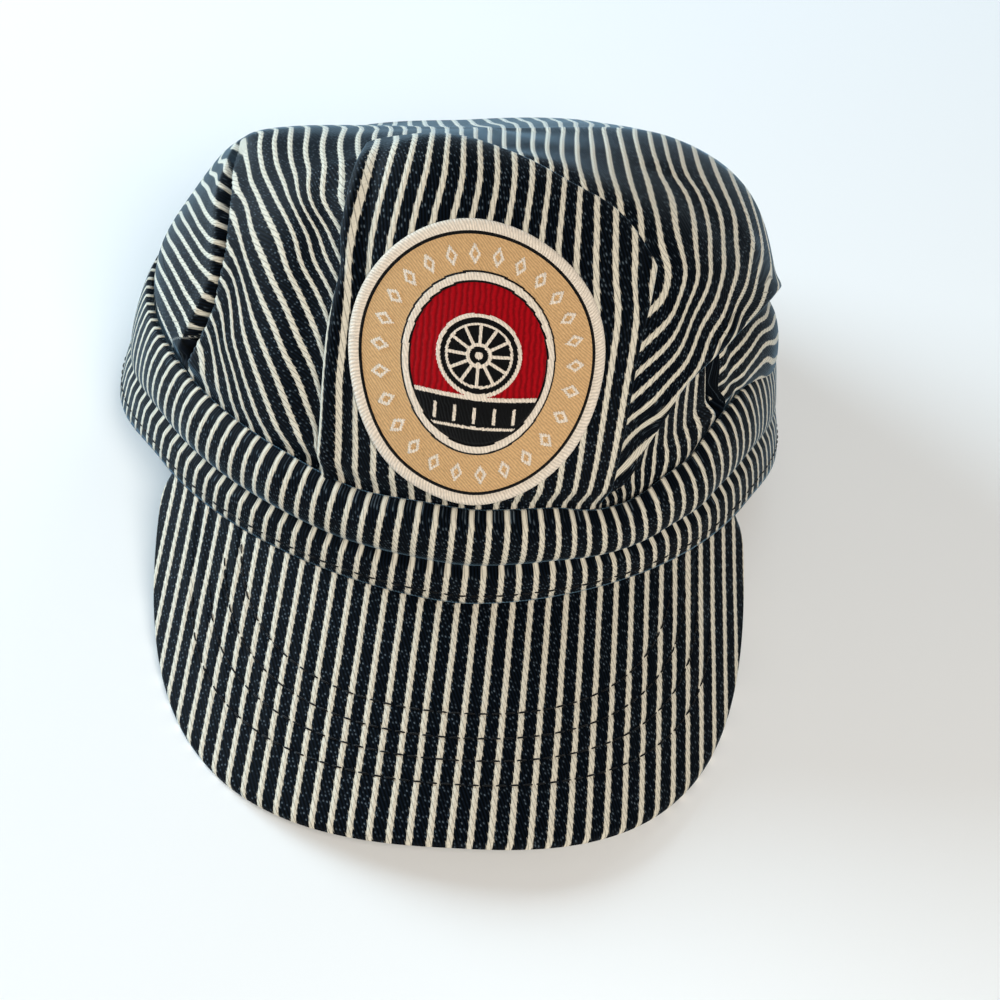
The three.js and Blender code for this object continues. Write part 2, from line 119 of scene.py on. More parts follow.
# The patch's design, in millimetres. A height is how thick the threads lie over the patch's foot.
TWILL_HEIGHT = 0.35
LOZENGES = 26
LOZENGE_RADIUS = 24.5
LOZENGE_INWARD = 7.6
LOZENGE_HALF_WIDTH = 1.5
LOZENGE_HALF_HEIGHT = 2.4
LOZENGE_INSIDE = 0.5
LOZENGE_HEIGHT = 0.7
PATCH_BORDER = [(3.3, BLACK, 0.6), (2.6, CREAM, 1.15)]
OVAL_HALF_WIDTH = 17.2
OVAL_HALF_HEIGHT = 20.6
OVAL_MEAN_HALF = 18.8
OVAL_UP = 0.6
OVAL_RINGS = [(-0.5, BLACK, 0.55), (0, CREAM, 0.85), (1.5, BLACK, 0.55), (2.0, RED, 0.65)]
GROUND_TOP = -7.4
GROUND_HEIGHT = 0.75
RAILS = [(-7.6, 0.45, 0.95), (-14.2, 0.3, 0.9)]
SLEEPERS = (-13.2, -9.6)
SLEEPER_SPACING = 4.4
SLEEPER_HALF = 0.35
SLEEPER_HEIGHT = 0.9
HUB_UP = 2.2
WHEEL_RADIUS = 9.6
WHEEL_HEIGHT = 0.85
WHEEL_RINGS = [(9.2, 0.45, 1.0), (7.3, 0.3, 1.0), (2.5, 0.4, 1.05), (0, 0.9, 1.1)]
SPOKES = 12
SPOKE_REACH = (2.4, 7.2)
SPOKE_HALF = 0.36
SPOKE_HEIGHT = 1.0

# The sewn border's rounded profile and its ribs, in millimetres and waves in each radian.
BORDER_MIDDLE = 1.3
BORDER_HALF = 1.35
BORDER_LOW = 0.15
BORDER_HIGH = 0.95
BORDER_RIB_HEIGHT = 0.16
BORDER_RIBS = 150
BORDER_RIB_SLANT = 2.2
BORDER_UV_RADIUS = 31

# The patch's mesh: columns round it, rows inward as a start, end and count, and the lower side's few rows.
PATCH_COLUMNS = 481
PATCH_ROWS = (0.995, 0.02, 128)
PATCH_INNER_SHARES = (1.0, 0.66, 0.33, 0.02)

# How finely the cloth's length up the front is measured.
RISE_STEPS = 401

# Sections of the crown, going round from the front towards the right. out is a share of the rim's
# distance from the middle, up is the height above the band's lower edge. A separate program fitted these
# numbers to the cap's outline as read from the photograph. They were rounded, and a few at the back were
# changed.
SECTION_COLUMNS = ("angle", "wall_out", "wall_up", "shoulder_out", "shoulder_up", "top_out", "top_up")
SECTIONS = [
    (0, 0.88, 67, 0.52, 104, 0.27, 100),
    (30, 0.90, 66, 0.60, 100, 0.32, 101),
    (60, 0.97, 61, 0.77, 86, 0.45, 99),
    (90, 0.98, 50, 0.83, 78, 0.51, 94),
    (130, 0.98, 44, 0.91, 63, 0.53, 78),
    (180, 0.98, 42, 0.87, 49, 0.48, 67),
    (205, 0.98, 42, 0.87, 48, 0.50, 66),
    (230, 0.97, 44, 0.91, 55, 0.56, 69),
    (270, 0.95, 50, 0.75, 76, 0.62, 85),
    (300, 0.94, 57, 0.75, 84, 0.44, 95),
    (330, 0.89, 66, 0.58, 103, 0.32, 101),
]
RISE_ROWS = (0, 0.28, 0.55, 0.78, 1)

# How the slouching crown pulls the band's upper edge: angle round from the front towards the right, how far
# up, and how far in towards the head.
BAND_PULLS = [
    (0, 0, 0), (8, 0, 0), (16, -1, 0), (24, -4.6, 0), (32, -5.4, 0.6), (38, -2.3, 0.8), (44, -1, 1.2),
    (50, 2.6, 2.6), (60, 4, 3.6), (72, 2.8, 3), (84, -1, 0.8), (100, 0, 0), (280, 0, 0), (300, -0.6, 0),
    (326, -0.8, 0), (338, -2, 0), (350, 0, 0),
]

# Soft dents and ridges of the crown's cloth. Each row is how far the cloth goes in, how wide that is above
# and below the path, all in millimetres, and the path's places as degrees round and share of rise.
SOFT_FOLDS = [
    # Beside the tuck.
    (2.2, 6, 9, [(-27, 0.02), (-31, 0.15), (-34.5, 0.3), (-40, 0.43), (-44, 0.54), (-50, 0.66)]),
    # Beside the right seam.
    (1.8, 6, 6, [(26, 0.02), (28, 0.2), (31, 0.32), (36, 0.4), (40, 0.455), (36, 0.52), (28, 0.57)]),
    # Behind the top seam.
    (1.6, 5, 5, [(-52, 0.76), (-22, 0.7), (4, 0.65), (18, 0.6), (30, 0.58)]),
    # A dent in the right shoulder, and the drag ridge below it.
    (0.8, 7, 7, [(62, 0.74), (60, 0.64), (63, 0.55), (68, 0.49)]),
    (-0.9, 4, 5, [(42.5, 0.463), (48, 0.443), (54.5, 0.453), (65, 0.475), (76, 0.5)]),
    # Dents in the back, on the left and on the right.
    (2.5, 12, 12, [(-150, 0.12), (-140, 0.42), (-118, 0.66)]),
    (2.5, 12, 12, [(160, 0.12), (148, 0.4), (128, 0.62)]),
]

# The share of a dent's path over which it runs out at each end.
DENT_END = 0.16

# The cloth's weave, in millimetres: how steeply the plies and ribs slant, how far a barb stands out and for
# which share of a twist, how ragged the stripes' edges are, how far they wander, and how far apart the drawn
# ribs and the flecks on them are.
PLY_SLANT = 2.3
BARB_HEIGHT = 0.4
BARB_SHARE = 0.16
RAGGED_EDGE = 0.22
STRIPE_WANDER = 0.3
RIB_SPACING = 0.85
FLECK_SPACING = 1.2

# The right fold's hanging edge, as places of degrees round and share of rise, and the turned cloth behind it:
# how far past the edge each row of the mesh lies, as a share of rise, and how far out, in millimetres.
RIGHT_FOLD = [(18, 0.012), (24, 0.028), (27, 0.041), (30, 0.072), (32.7, 0.128), (36, 0.183), (39, 0.232),
              (42.2, 0.26), (47.3, 0.289), (51, 0.308), (56, 0.331), (61.5, 0.344), (68, 0.352), (76, 0.342),
              (88, 0.29), (102, 0.2), (118, 0.08)]
FOLD_TURN = [(0.012, -3.3), (0.014, -2.5), (0.011, -1.4), (0.004, -0.7), (-0.003, -0.25), (-0.007, 0.3),
             (-0.006, 0.85), (-0.002, 1.15)]
FOLD_DEPTH = 3.6
FOLD_LIP = 1.15
FOLD_LIP_WIDTH = 3.5
LEVEL_ROW = 0.24
TOP_RISE = 0.975

# Where the parts of the right side's folds begin, are full, begin to end and have ended: the first four in
# degrees round, the others in shares of the cloth's height below the fold.
FOLD_REACH = (8, 24, 112, 128)
FOLD_HANG = (22, 28, 84, 112)
POCKET_LEAN = (34, 46, 52.5, 66)
LINING_POCKET = (40, 46.5, 54, 60)
PLEAT_SWING = (0.06, 0.2, 0.3, 0.95)
PLEAT_DROOP = (0.1, 0.22, 0.22, 0.75)

# How far up the cloth below the fold its depth grows: the gathers' and then the pleat's.
GATHER_DEEPENS = (0, 0.35)
PLEAT_DEEPENS = (0.3, 1)
LOWEST_SPLIT = 0.01

# The dark pocket between the gathers and the pleat: the angle of its left edge at a share of rise, the angles
# between which it lies, its depth in millimetres, how thick its walls are in degrees, how it opens up from
# the band, which place between two stripes it shows as painted shade (the dark ground in place of the
# stripes), and how close together the columns stand where the stripes change. The cloth below the fold has
# its own stripes between two angles.
POCKET_LEFT = [(0, 52.8), (0.03, 52), (0.117, 49.1), (0.2, 47.7), (0.3, 47.5)]
POCKET_START = 47.5
POCKET_END = 51
POCKET_DEPTH = 6.5
POCKET_WALL = 0.15
POCKET_OPENS = (0, 0.1)
POCKET_PAINTED_SHADE_STRIPE = 0.5
WALL_STEP = 0.01
FOLD_SIDES = (22, 118)
PLEAT_TURN = 6

# The cloth beside the pocket is fuller: how far out, over which widths in degrees, and from which share up.
EDGE_FULLNESS = 0.9
HEM_WIDTH = 0.8
PLEAT_EDGE_WIDTH = 1.2
EDGE_FILLS = (0, 0.2)

# How the pleat beside the pocket hangs out over the band: angle, how far out, and how far down.
PLEAT_HANG = [(52, 0, 0), (58, 0.8, 0.3), (64, 2, 2), (70, 2.8, 5), (78, 3, 8.5), (86, 3, 10), (94, 2.8, 8),
              (104, 1.6, 3), (112, 0, 0)]

# Crisp fold edges of the left side, as places of degrees round and share of rise.
VALLEY_EDGE = [(-59, -0.03), (-57.5, 0.065), (-55.5, 0.189), (-55, 0.279), (-56.5, 0.348), (-58.5, 0.413),
               (-62.5, 0.473), (-69.5, 0.527), (-82.5, 0.557), (-97, 0.612), (-112, 0.66)]
FLAP_EDGE = [(-62, -0.03), (-61, 0.055), (-59.5, 0.149), (-58.5, 0.224), (-58.2, 0.333), (-61.5, 0.403),
             (-66.5, 0.458), (-75.5, 0.493), (-95.5, 0.55), (-112, 0.63)]

# The valley: its depth, how much deeper it is at one rise and over which share, the share of its edge over
# which it runs out, how its flap's side slopes, and how far its crisp edge hangs over it, in millimetres.
VALLEY_DEPTH = 6.4
VALLEY_DEEPER = 5
VALLEY_DEEPEST = 0.17
VALLEY_DEEP_WIDTH = 0.14
VALLEY_RUN_OUT = 0.3
FLAP_FOOT = (1.0, -1.6)
VALLEY_OVERHANG = 1.3
OVERHANG_WIDTH = 1.3
SHORTEST_STEP = 0.05

# The rounded rolls along both of its edges, in millimetres.
ROLL_HEIGHT = 0.8
EDGE_ROLL_WIDTH = 2.6
FLAP_ROLL_PLACE = 1.5
FLAP_ROLL_WIDTH = 3.0

# Painted shade in the valley: where shade falls, the cloth shows its dark ground in place of its stripes.
# How wide this is, how much wider it gets between two rises near the band, up to which rise it goes, and
# which place between two stripes it shows.
VALLEY_PAINTED_SHADE_WIDTH = 1.1
VALLEY_PAINTED_SHADE_WIDENING = 8
VALLEY_PAINTED_SHADE_RISES = (0.22, 0.03)
VALLEY_PAINTED_SHADE_TOP = 0.5
VALLEY_PAINTED_SHADE_STRIPE = -12.5

# Where the left side begins; and where the flap's stripes begin to flow into the others, in degrees, over
# which width in millimetres, and where they have ended.
LEFT_SIDE = -30
FLAP_SIDE = -45
FLAP_FLOW_TURN = (-74, -96)
FLAP_FLOW_WIDTH = 12
FLAP_CRISP_WIDTH = 0.02
FLAP_END_TURN = (-118, -98)

# The crown's mesh. Below the fold it has evenly spaced rows, and above it two parts with a start, end and
# count. Its columns are fine where the folds are. It is drawn in to the valley's edge.
GATHER_ROWS = 46
LIP_ROWS = (0.003, 0.045, 11)
UPPER_ROWS = (0.052, 1, 124)
FINE_COLUMNS = (-112, 112, 0.56)
COARSE_COLUMNS = (112, 247, 2.5)
LAST_COLUMN = 248
COLUMN_GAP = 0.12
VALLEY_DRAW = 5
VALLEY_DRAW_END = 0.25
CRISP_EDGE = 0.3
LINING_EDGE = 2.5
RIM_HOLD = 0.08
TOP_HOLD = 0.12

# The inner side of the crown's cloth: how much deeper than the folds it goes, how far from their rim its own
# gap grows, and at which rises its rows lie.
LINING_DEEPER = 1.1
LINING_GAP = 1.2
LINING_GAP_RISE = 0.1
LINING_BELOW = (-0.01, 0.05)
LINING_FOLD_RISE = 0.05
LINING_POCKET_RISE = 0.06
LINING_RISES = (0, 0.05, 0.1, 0.16, 0.22, 0.28, 0.34, 0.4, 0.46, 0.52, 0.58, 0.66, 0.75, 0.85, 0.95)

# How softly the stripes bend between their places, and how far they may miss them, in millimetres; the scale
# of the field's plane; how many places of a stripe the next is laid beside; and how many points go at once.
FIELD_ROUNDING = 6
FIELD_SLACK = 0.6
FIELD_SCALE = 100
FIELD_PLACES = 60
FIELD_BATCH = 20000

# Where the stripes run on the back and sides that the front view doesn't show. On the back they lie at their
# pitch from the middle stripe out, and the length along them grows with the rise. The places of the sides are
# an angle, a rise, a stripe and the length along it.
BACK_ANGLES = (130, 155, 180, -155, -130)
BACK_RISES = (0.1, 0.45, 0.75)
BACK_MIDDLE_STRIPE = 10
BACK_PITCH = 4.6
BACK_LENGTH = -10
BACK_LENGTH_PER_RISE = 60
SIDE_PLACES = [(100, 0.5, 27.5, 25), (100, 0.3, 31.5, 25), (100, 0.1, 35.5, 25),
               (-100, 0.3, -11.5, 10), (-100, 0.1, -15.5, 10)]
PLEAT_BACK = (90, 140)

# How the stripes of the cloth lie on the crown. Each row is one stripe, counted from the one that passes
# beside the tuck, and the places on the smooth form that it runs through, from the back to the front.
# Most of these numbers weren't chosen by hand in these units. The places were read from the
# photograph, and a separate program carried them onto the cap through the fitted camera, thinned them and
# rounded them. The same holds for the other tables of stripes, and for the edges in RIGHT_FOLD, POCKET_LEFT,
# VALLEY_EDGE and FLAP_EDGE.
MAIN_STRIPES = [
    (-15, [(-54.5, 0.13), (-55, 0.075), (-52.5, 0)]),
    (-14, [(-54, 0.215), (-53.5, 0.17), (-51, 0.085), (-49, 0.005)]),
    (-13, [(-53.5, 0.24), (-50.5, 0.165), (-47.5, 0.085), (-45, 0)]),
    (-12, [(-53.5, 0.275), (-51.5, 0.215), (-47.5, 0.145), (-44.5, 0.07), (-41.5, 0)]),
    (-11, [(-54.5, 0.34), (-51, 0.275), (-48, 0.205), (-45, 0.135), (-41, 0.055), (-38, 0)]),
    (-10, [(-55, 0.37), (-50, 0.305), (-45.5, 0.225), (-41.5, 0.15), (-38, 0.075), (-34, 0)]),
    (-9, [(-57.5, 0.42), (-56, 0.395), (-52, 0.355), (-48.5, 0.31), (-44, 0.26), (-40, 0.205),
          (-37, 0.145), (-33.5, 0.07), (-30.5, 0)]),
    (-8, [(-63, 0.49), (-57.5, 0.44), (-53.5, 0.4), (-47.5, 0.345), (-42.5, 0.295), (-38.5, 0.24),
          (-34.5, 0.18), (-32.5, 0.13), (-30, 0.085)]),
    (-7, [(-72, 0.545), (-68, 0.53), (-58, 0.48), (-51, 0.42), (-45.5, 0.365), (-41.5, 0.33),
          (-36.5, 0.27), (-32, 0.205)]),
    (-6, [(-84.5, 0.59), (-72.5, 0.58), (-58, 0.525), (-49.5, 0.45), (-43.5, 0.385), (-38.5, 0.335),
          (-33.5, 0.285)]),
    (-5, [(-84.5, 0.725), (-80, 0.675), (-76.5, 0.645), (-67.5, 0.605), (-53, 0.52), (-45, 0.435),
          (-39.5, 0.38), (-34.5, 0.335)]),
    (-4, [(-88, 0.77), (-72.5, 0.675), (-58.5, 0.595), (-49.5, 0.515), (-44, 0.455), (-42, 0.42),
          (-38.5, 0.39), (-35.5, 0.37)]),
    (-3, [(-82, 0.78), (-69, 0.69), (-63.5, 0.655), (-53, 0.57), (-48, 0.51)]),
    (-2, [(-79, 0.795), (-61, 0.67), (-49.5, 0.545)]),
    (-1, [(-80.5, 0.825), (-51.5, 0.63), (-44, 0.505)]),
    (0, [(-81.5, 0.85), (-51.5, 0.67), (-43.5, 0.55)]),
    (1, [(-77.5, 0.86), (-45, 0.65)]),
    (7, [(-36.5, 0.85)]),
    (10, [(0.5, 0.96), (-4, 0.795)]),
    (12, [(63.5, 0.955), (14.5, 0.76)]),
    (14, [(72, 0.92), (25.5, 0.73), (20.5, 0.605)]),
    (16, [(75.5, 0.885), (29, 0.62)]),
    (18, [(78.5, 0.855), (42, 0.675), (36.5, 0.54)]),
    (19, [(80, 0.835), (45.5, 0.66), (40, 0.515)]),
    (20, [(84, 0.815), (57, 0.73), (47.5, 0.615), (42.5, 0.48), (44, 0.475), (43, 0.445), (41, 0.415),
          (35, 0.375)]),
    (21, [(87, 0.795), (55.5, 0.645), (48, 0.53), (45.5, 0.45), (44, 0.415), (41.5, 0.38), (33, 0.325)]),
    (22, [(88.5, 0.775), (71, 0.74), (62, 0.65), (54, 0.55), (48.5, 0.45), (40.5, 0.345), (31, 0.28)]),
    (23, [(66.5, 0.68), (62, 0.595), (59, 0.555), (51, 0.44), (44.5, 0.37), (39, 0.3), (29.5, 0.23)]),
    (24, [(70, 0.645), (64, 0.55), (57, 0.48), (53, 0.43), (50, 0.385), (44.5, 0.33), (39.5, 0.275),
          (33, 0.215), (28.5, 0.18)]),
    (25, [(91.5, 0.675), (75, 0.62), (69, 0.55), (61, 0.475), (53.5, 0.38), (43.5, 0.275),
          (38.5, 0.23), (34.5, 0.18), (28, 0.125)]),
    (26, [(94.5, 0.62), (73, 0.51), (65, 0.46), (61.5, 0.415), (52.5, 0.33), (47, 0.285)]),
    (26, [(34, 0.155), (27.5, 0.075)]),
    (27, [(78.5, 0.49), (72, 0.45), (59, 0.365), (51, 0.31)]),
    (27, [(31.5, 0.05), (26.5, 0.035)]),
    (28, [(83, 0.465), (77.5, 0.395), (59, 0.345), (55.5, 0.33)]),
]
FLAP_STRIPES = [
    (-5, [(-88.5, 0.755), (-80, 0.68)]),
    (-6, [(-90.5, 0.64), (-73.5, 0.575)]),
    (-7, [(-101.5, 0.49), (-82.5, 0.505), (-81.5, 0.51)]),
    (-8, [(-103.5, 0.455), (-83.5, 0.48), (-76, 0.495), (-76.5, 0.5)]),
    (-9, [(-100.5, 0.42), (-83, 0.45), (-71.5, 0.47), (-70, 0.475)]),
    (-10, [(-97.5, 0.39), (-81.5, 0.42), (-72.5, 0.435), (-65.5, 0.45)]),
    (-11, [(-97, 0.355), (-81, 0.39), (-73.5, 0.4), (-67.5, 0.405), (-63.5, 0.41)]),
    (-12, [(-95, 0.33), (-79.5, 0.37), (-72, 0.38), (-66.5, 0.38), (-61.5, 0.38), (-60.5, 0.39)]),
    (-13, [(-94.5, 0.295), (-81, 0.335), (-73.5, 0.35), (-68, 0.35), (-63, 0.345), (-59.5, 0.345)]),
    (-14, [(-91.5, 0.265), (-79, 0.305), (-72.5, 0.31), (-67, 0.31), (-63, 0.305), (-58.5, 0.29)]),
    (-15, [(-89.5, 0.215), (-78.5, 0.26), (-72.5, 0.27), (-67.5, 0.265), (-63.5, 0.25), (-59.5, 0.25)]),
    (-16, [(-87, 0.16), (-78, 0.21), (-72, 0.22), (-67.5, 0.21), (-63.5, 0.2), (-60, 0.185)]),
    (-17, [(-85, 0.095), (-77, 0.14), (-71.5, 0.15), (-67.5, 0.14), (-64, 0.13), (-61, 0.12)]),
]
PLEAT_STRIPES = [
    (29, [(84, 0.25), (72, 0.28), (61.5, 0.283), (56, 0.257), (52.2, 0.216), (51.4, 0.192)]),
    (30, [(80, 0.225), (68.3, 0.242), (59.4, 0.219), (55.1, 0.196), (53.3, 0.132), (52.8, 0.117)]),
    (31, [(80, 0.17), (67.2, 0.203), (59, 0.181), (56, 0.131), (54.3, 0.069)]),
    (32, [(78, 0.13), (66, 0.172), (60, 0.121), (57.5, 0.05), (55.5, 0.007)]),
    (33, [(76, 0.08), (64, 0.07), (60, 0.01)]),
]
GATHER_STRIPES = [
    (0, [(33, 0.024), (32.5, 0.006)]),
    (1, [(34.8, 0.054), (34.2, 0.024), (33.6, 0)]),
    (2, [(37.3, 0.093), (36.8, 0.042), (35.4, 0)]),
    (3, [(39.1, 0.131), (39.7, 0.066), (37.8, 0)]),
    (4, [(41.2, 0.167), (41.2, 0.115), (41.6, 0.048), (41.3, 0)]),
    (5, [(43.3, 0.195), (43.4, 0.14), (44.6, 0.057), (44.1, 0)]),
    (6, [(46, 0.232), (46.5, 0.136), (47.2, 0.048), (46.8, 0)]),
    (7, [(47.1, 0.25), (47.3, 0.2), (48.7, 0.117), (51.6, 0.03)]),
]
PANEL_STRIPES = [
    (-1, [(-37.5, 0.47), (-32, 0.34), (-30.5, 0.285), (-29, 0.205), (-28, 0.095), (-27.5, 0.015)]),
    (0, [(-43.5, 0.69), (-34, 0.475), (-30, 0.375), (-28.5, 0.32), (-27, 0.245), (-25.5, 0.15),
         (-24.5, 0.045)]),
    (1, [(-42, 0.73), (-29, 0.43), (-23.5, 0.21), (-22, 0.105)]),
    (2, [(-30.5, 0.645), (-25.5, 0.45)]),
    (3, [(-24.5, 0.61), (-21.5, 0.45)]),
    (4, [(-19.5, 0.6), (-17.5, 0.465), (-12, 0.05)]),
    (5, [(-15, 0.605), (-13, 0.55), (-13, 0.47)]),
    (6, [(-9, 0.6), (-7.5, 0.54), (-8, 0.47)]),
    (7, [(-2.5, 0.6), (-1.5, 0.53), (-3, 0.48)]),
    (8, [(6, 0.575), (3.5, 0.48), (1.5, 0.05)]),
    (9, [(11.5, 0.565), (9, 0.485)]),
    (10, [(16.5, 0.555), (13.5, 0.49)]),
    (11, [(20.5, 0.56), (18, 0.495)]),
    (12, [(25, 0.56), (21, 0.46), (15.5, 0.05)]),
    (13, [(28, 0.535), (26.5, 0.49)]),
    (14, [(32.5, 0.525), (28.5, 0.425), (23, 0.2)]),
    (15, [(36, 0.51), (32.5, 0.395), (25.5, 0.135), (23.5, 0.02)]),
    (16, [(39.5, 0.485), (39, 0.455), (35.5, 0.415)]),
]

# The front panel's outline: half widths at a share of rise, and the rise of its top edge at each x.
PANEL_SIDES = [(0, -37.5, 33.5), (0.12, -37.3, 35), (0.3, -37.1, 36.5), (0.36, -36, 37.8),
               (0.4, -34.9, 38.9), (0.45, -35.5, 40), (0.6, -33, 41), (0.75, -31, 41)]
PANEL_TOP = [(-40, 0.6), (-28, 0.73), (-12, 0.69), (2, 0.63), (16, 0.575), (28, 0.54), (36, 0.49),
             (41, 0.44)]
PANEL_MEAN_TOP = 0.6
PANEL_ROUNDS = 8

# The front panel's mesh, as parts with a start, end and count, and its relief in millimetres: the rounded
# edges, the tuck's ridge and the groove beside it, the crease along the right seam and the swell between.
# Each of the three lines is a height, how far in from the side it lies and its width.
PANEL_COLUMNS = ((-1, -0.8, 16), (-0.785, 0.93, 120), (0.94, 1, 8))
PANEL_ROWS = 170
PANEL_HEIGHT = 70
PANEL_EDGE_WIDTH = 1.1
PANEL_EDGE_DROP = 0.75
TUCK_RIDGE = (1.5, 2.0, 2.0)
TUCK_GROOVE = (0.7, 5.2, 1.8)
TUCK_TOP = (1.0, 0.7)
SEAM_CREASE = (0.35, 3.5, 1.2)
CREASE_RISES = (0.1, 0.4)
PANEL_SWELL = 0.2
SWELL_WAVES_UP = 7
SWELL_WAVES_ACROSS = 2
SWELL_REACH = (0, 0.2, 0.85, 1)
PANEL_LEAST = 0.3

# Cloth that goes on past the rim's row, in millimetres along the stripes.
HEM_CLOTH = (0, 5)

# The search for the angle at which the crown has a given x: how far round it looks, and how often it halves.
SEARCH_TURN = 88.0
SEARCH_ROUNDS = 22

# How the cloth of the band stands out from its plain wall, at a share of its height.
BAND_PROFILE = [(0, 0), (0.16, 0.6), (0.3, 0.2), (0.36, -1.2), (0.39, -1.8), (0.43, -0.5), (0.52, 1.3),
                (0.66, 2.2), (0.8, 1.9), (0.9, 0.8), (0.96, -0.4), (1, -1.9)]

# The puff fades at the sides between two angles by this share. Lumps are a height in millimetres, waves in
# each radian, waves up the band and where they start, and they lie between these shares of its height.
PUFF_FADE_TURN = (45, 85)
PUFF_FADE = 0.75
BAND_LUMPS = [(0.22, 23, 4, 0), (0.18, 41, 0, 1.3)]
LUMP_REACH = (0.42, 0.6, 0.8, 1.0)

# The band's mesh: columns round it, and rows up its outer and inner side; and where its stitching lies.
BAND_COLUMNS = 721
BAND_ROWS = ((0, 0.3, 10), (0.325, 0.48, 12), (0.51, 1, 24))
BAND_INNER_ROWS = ((0, 1, 5),)
BAND_STITCH_HEIGHT = 0.105
BAND_LENGTH_STEPS = 1441

# Stitch rows of the bill, from the inner to the outer, as half width, reach and where they start.
BILL_ROWS = [(56.5, 50.2, -76.4), (60.5, 54.1, -78), (64, 55.5, -81.5), (68, 58, -84.3)]
BILL_ROW_ROUNDNESS = 2.1
BILL_ROW_END = 86
BILL_ROW_STEPS = 400

# How deep and wide, in millimetres, the rows press into the cloth, and the puckers beside them with their
# waves in each millimetre; and how deep the stitching sits.
BILL_GROOVE = 0.32
BILL_GROOVE_WIDTH = 0.75
BILL_PUCKER = 0.1
BILL_PUCKER_WIDTH = 2.2
BILL_PUCKER_WAVES = 2.1
BILL_STITCH_SINK = 0.2

# The bill's mesh, as parts with a start, end and count, and where its rounded rim starts and ends.
BILL_COLUMNS = (-0.985, 0.985, 261)
BILL_ROWS_OF_MESH = ((0, 0.93, 130), (0.94, 1, 14))
BILL_RIM_FRONT = (0.955, 1)
BILL_RIM_SIDE = (0.95, 0.985)

# How the bill's stripes fan out: by how much in each millimetre forward, how that changes from side to side,
# and where the first one lies.
BILL_FAN = 0.078
BILL_FAN_CHANGE = 0.00085
BILL_STRIPE_SHIFT = 8.2

# One topstitch: share of its length, height over the cloth and thickness, as shares of the thread's radius.
# Its thread has six sides, and two quads close each of its ends, the start as 0 and the end as 1.
STITCH_SHAPE = [(0, -0.9, 0.5), (0.12, 0.1, 0.85), (0.35, 0.65, 1), (0.65, 0.65, 1), (0.88, 0.1, 0.85),
                (1, -0.9, 0.5)]
STITCH_SIDES = 6
STITCH_ENDS = [(0, (0, 5, 4, 3)), (0, (0, 3, 2, 1)), (1, (0, 1, 2, 3)), (1, (0, 3, 4, 5))]
STITCH_UV = [(0, 0), (0.3, 0), (0.3, 0.5), (0, 0.5)]


def smooth(low, high, value):
    """0 up to the first place and 1 from the second, with a soft change between them."""
    share = np.clip((value - low) / (high - low), 0, 1)
    return share * share * (3 - 2 * share)


def only_between(value, begins, full, ebbs, ended):
    """1 from full to ebbs, falling off softly to 0 at both other places."""
    return smooth(begins, full, value) * (1 - smooth(ebbs, ended, value))


def hump(value, width):
    """1 where the value is 0, falling off softly to both sides."""
    return np.exp(-((value / width) ** 2))


def spaced(*parts):
    """Evenly spaced places in a row of parts, each with a start, end and count."""
    return np.concatenate([np.linspace(*part) for part in parts])


def unit(vectors):
    """The same directions with a length of 1."""
    return vectors / np.linalg.norm(vectors, axis=-1, keepdims=True)


def lengths_along(points):
    """Length along a line of points, from its start to each of them."""
    return np.concatenate([[0], np.cumsum(np.linalg.norm(np.diff(points, axis=0), axis=-1))])


def places_along(at, lengths, points):
    """Places at the lengths asked for along a line of points."""
    return np.stack([np.interp(at, lengths, points[:, k]) for k in range(3)], -1)


def signed_power(value, power):
    """A power that keeps the value's sign."""
    return np.sign(value) * np.abs(value) ** power


def turned(angle):
    """The same angle between -180 and 180 degrees."""
    return (np.asarray(angle, float) + FULL_TURN / 2) % FULL_TURN - FULL_TURN / 2


def through(places, values, at, turn=0):
    """Smooth curve through a table's values; a turn makes it close on itself."""
    at = np.asarray(at, float)
    places = list(places)
    values = [np.broadcast_to(np.asarray(v, float), at.shape) for v in values]
    if turn:
        at = at % turn
        places = [places[-2] - turn, places[-1] - turn, *places, places[0] + turn, places[1] + turn]
        values = [values[-2], values[-1], *values, values[0], values[1]]
    else:
        places = [places[0], *places, places[-1]]
        values = [values[0], *values, values[-1]]
    places = np.array(places, float)
    table = np.stack(values)
    low = np.clip(np.searchsorted(places[1:-1], at, side="right"), 1, len(places) - 3)

    def row(index):
        return np.take_along_axis(table, index[None], 0)[0]

    before, start, end, after = row(low - 1), row(low), row(low + 1), row(low + 2)
    span = places[low + 1] - places[low]
    share = np.clip((at - places[low]) / span, 0, 1)
    slope_start = (end - before) / (places[low + 1] - places[low - 1]) * span
    slope_end = (after - start) / (places[low + 2] - places[low]) * span
    square, cube = share**2, share**3
    return ((2 * cube - 3 * square + 1) * start + (cube - 2 * square + share) * slope_start
            + (3 * square - 2 * cube) * end + (cube - square) * slope_end)


def along_table(table, at, place=1, turn=0):
    """Smooth curve through one column of a table whose first column says where each row lies."""
    return through([row[0] for row in table], [row[place] for row in table], at, turn)


def section(name, angle):
    """One column of the crown's sections at the angles asked for."""
    return along_table(SECTIONS, angle, SECTION_COLUMNS.index(name), FULL_TURN)


def head_outline(angle, inset=0.0):
    """The head opening's outline at an angle, moved in by an inset."""
    turn = np.radians(angle)
    backness = smooth(*HEAD_ROUNDNESS_TURN, np.abs(turned(angle)))
    power = 2 / (HEAD_ROUNDNESS_FRONT + (HEAD_ROUNDNESS_BACK - HEAD_ROUNDNESS_FRONT) * backness)
    x = (HEAD_HALF_WIDTH - inset) * signed_power(np.sin(turn), power)
    y = -(HEAD_HALF_LENGTH - inset) * signed_power(np.cos(turn), power)
    return x, y


def bill_height(x, y):
    """Height of the bill's upper surface."""
    forward = -HEAD_HALF_LENGTH - y
    drop = BILL_ARCH_RADIUS - np.sqrt(BILL_ARCH_RADIUS**2 - x * x)
    return BILL_RISE - math.tan(BILL_SLOPE) * forward - drop / math.cos(BILL_SLOPE)


# The angle round the head at which the bill ends.
BILL_END = math.degrees(math.asin((BILL_HALF_WIDTH / HEAD_HALF_WIDTH) ** (HEAD_ROUNDNESS_FRONT / 2)))


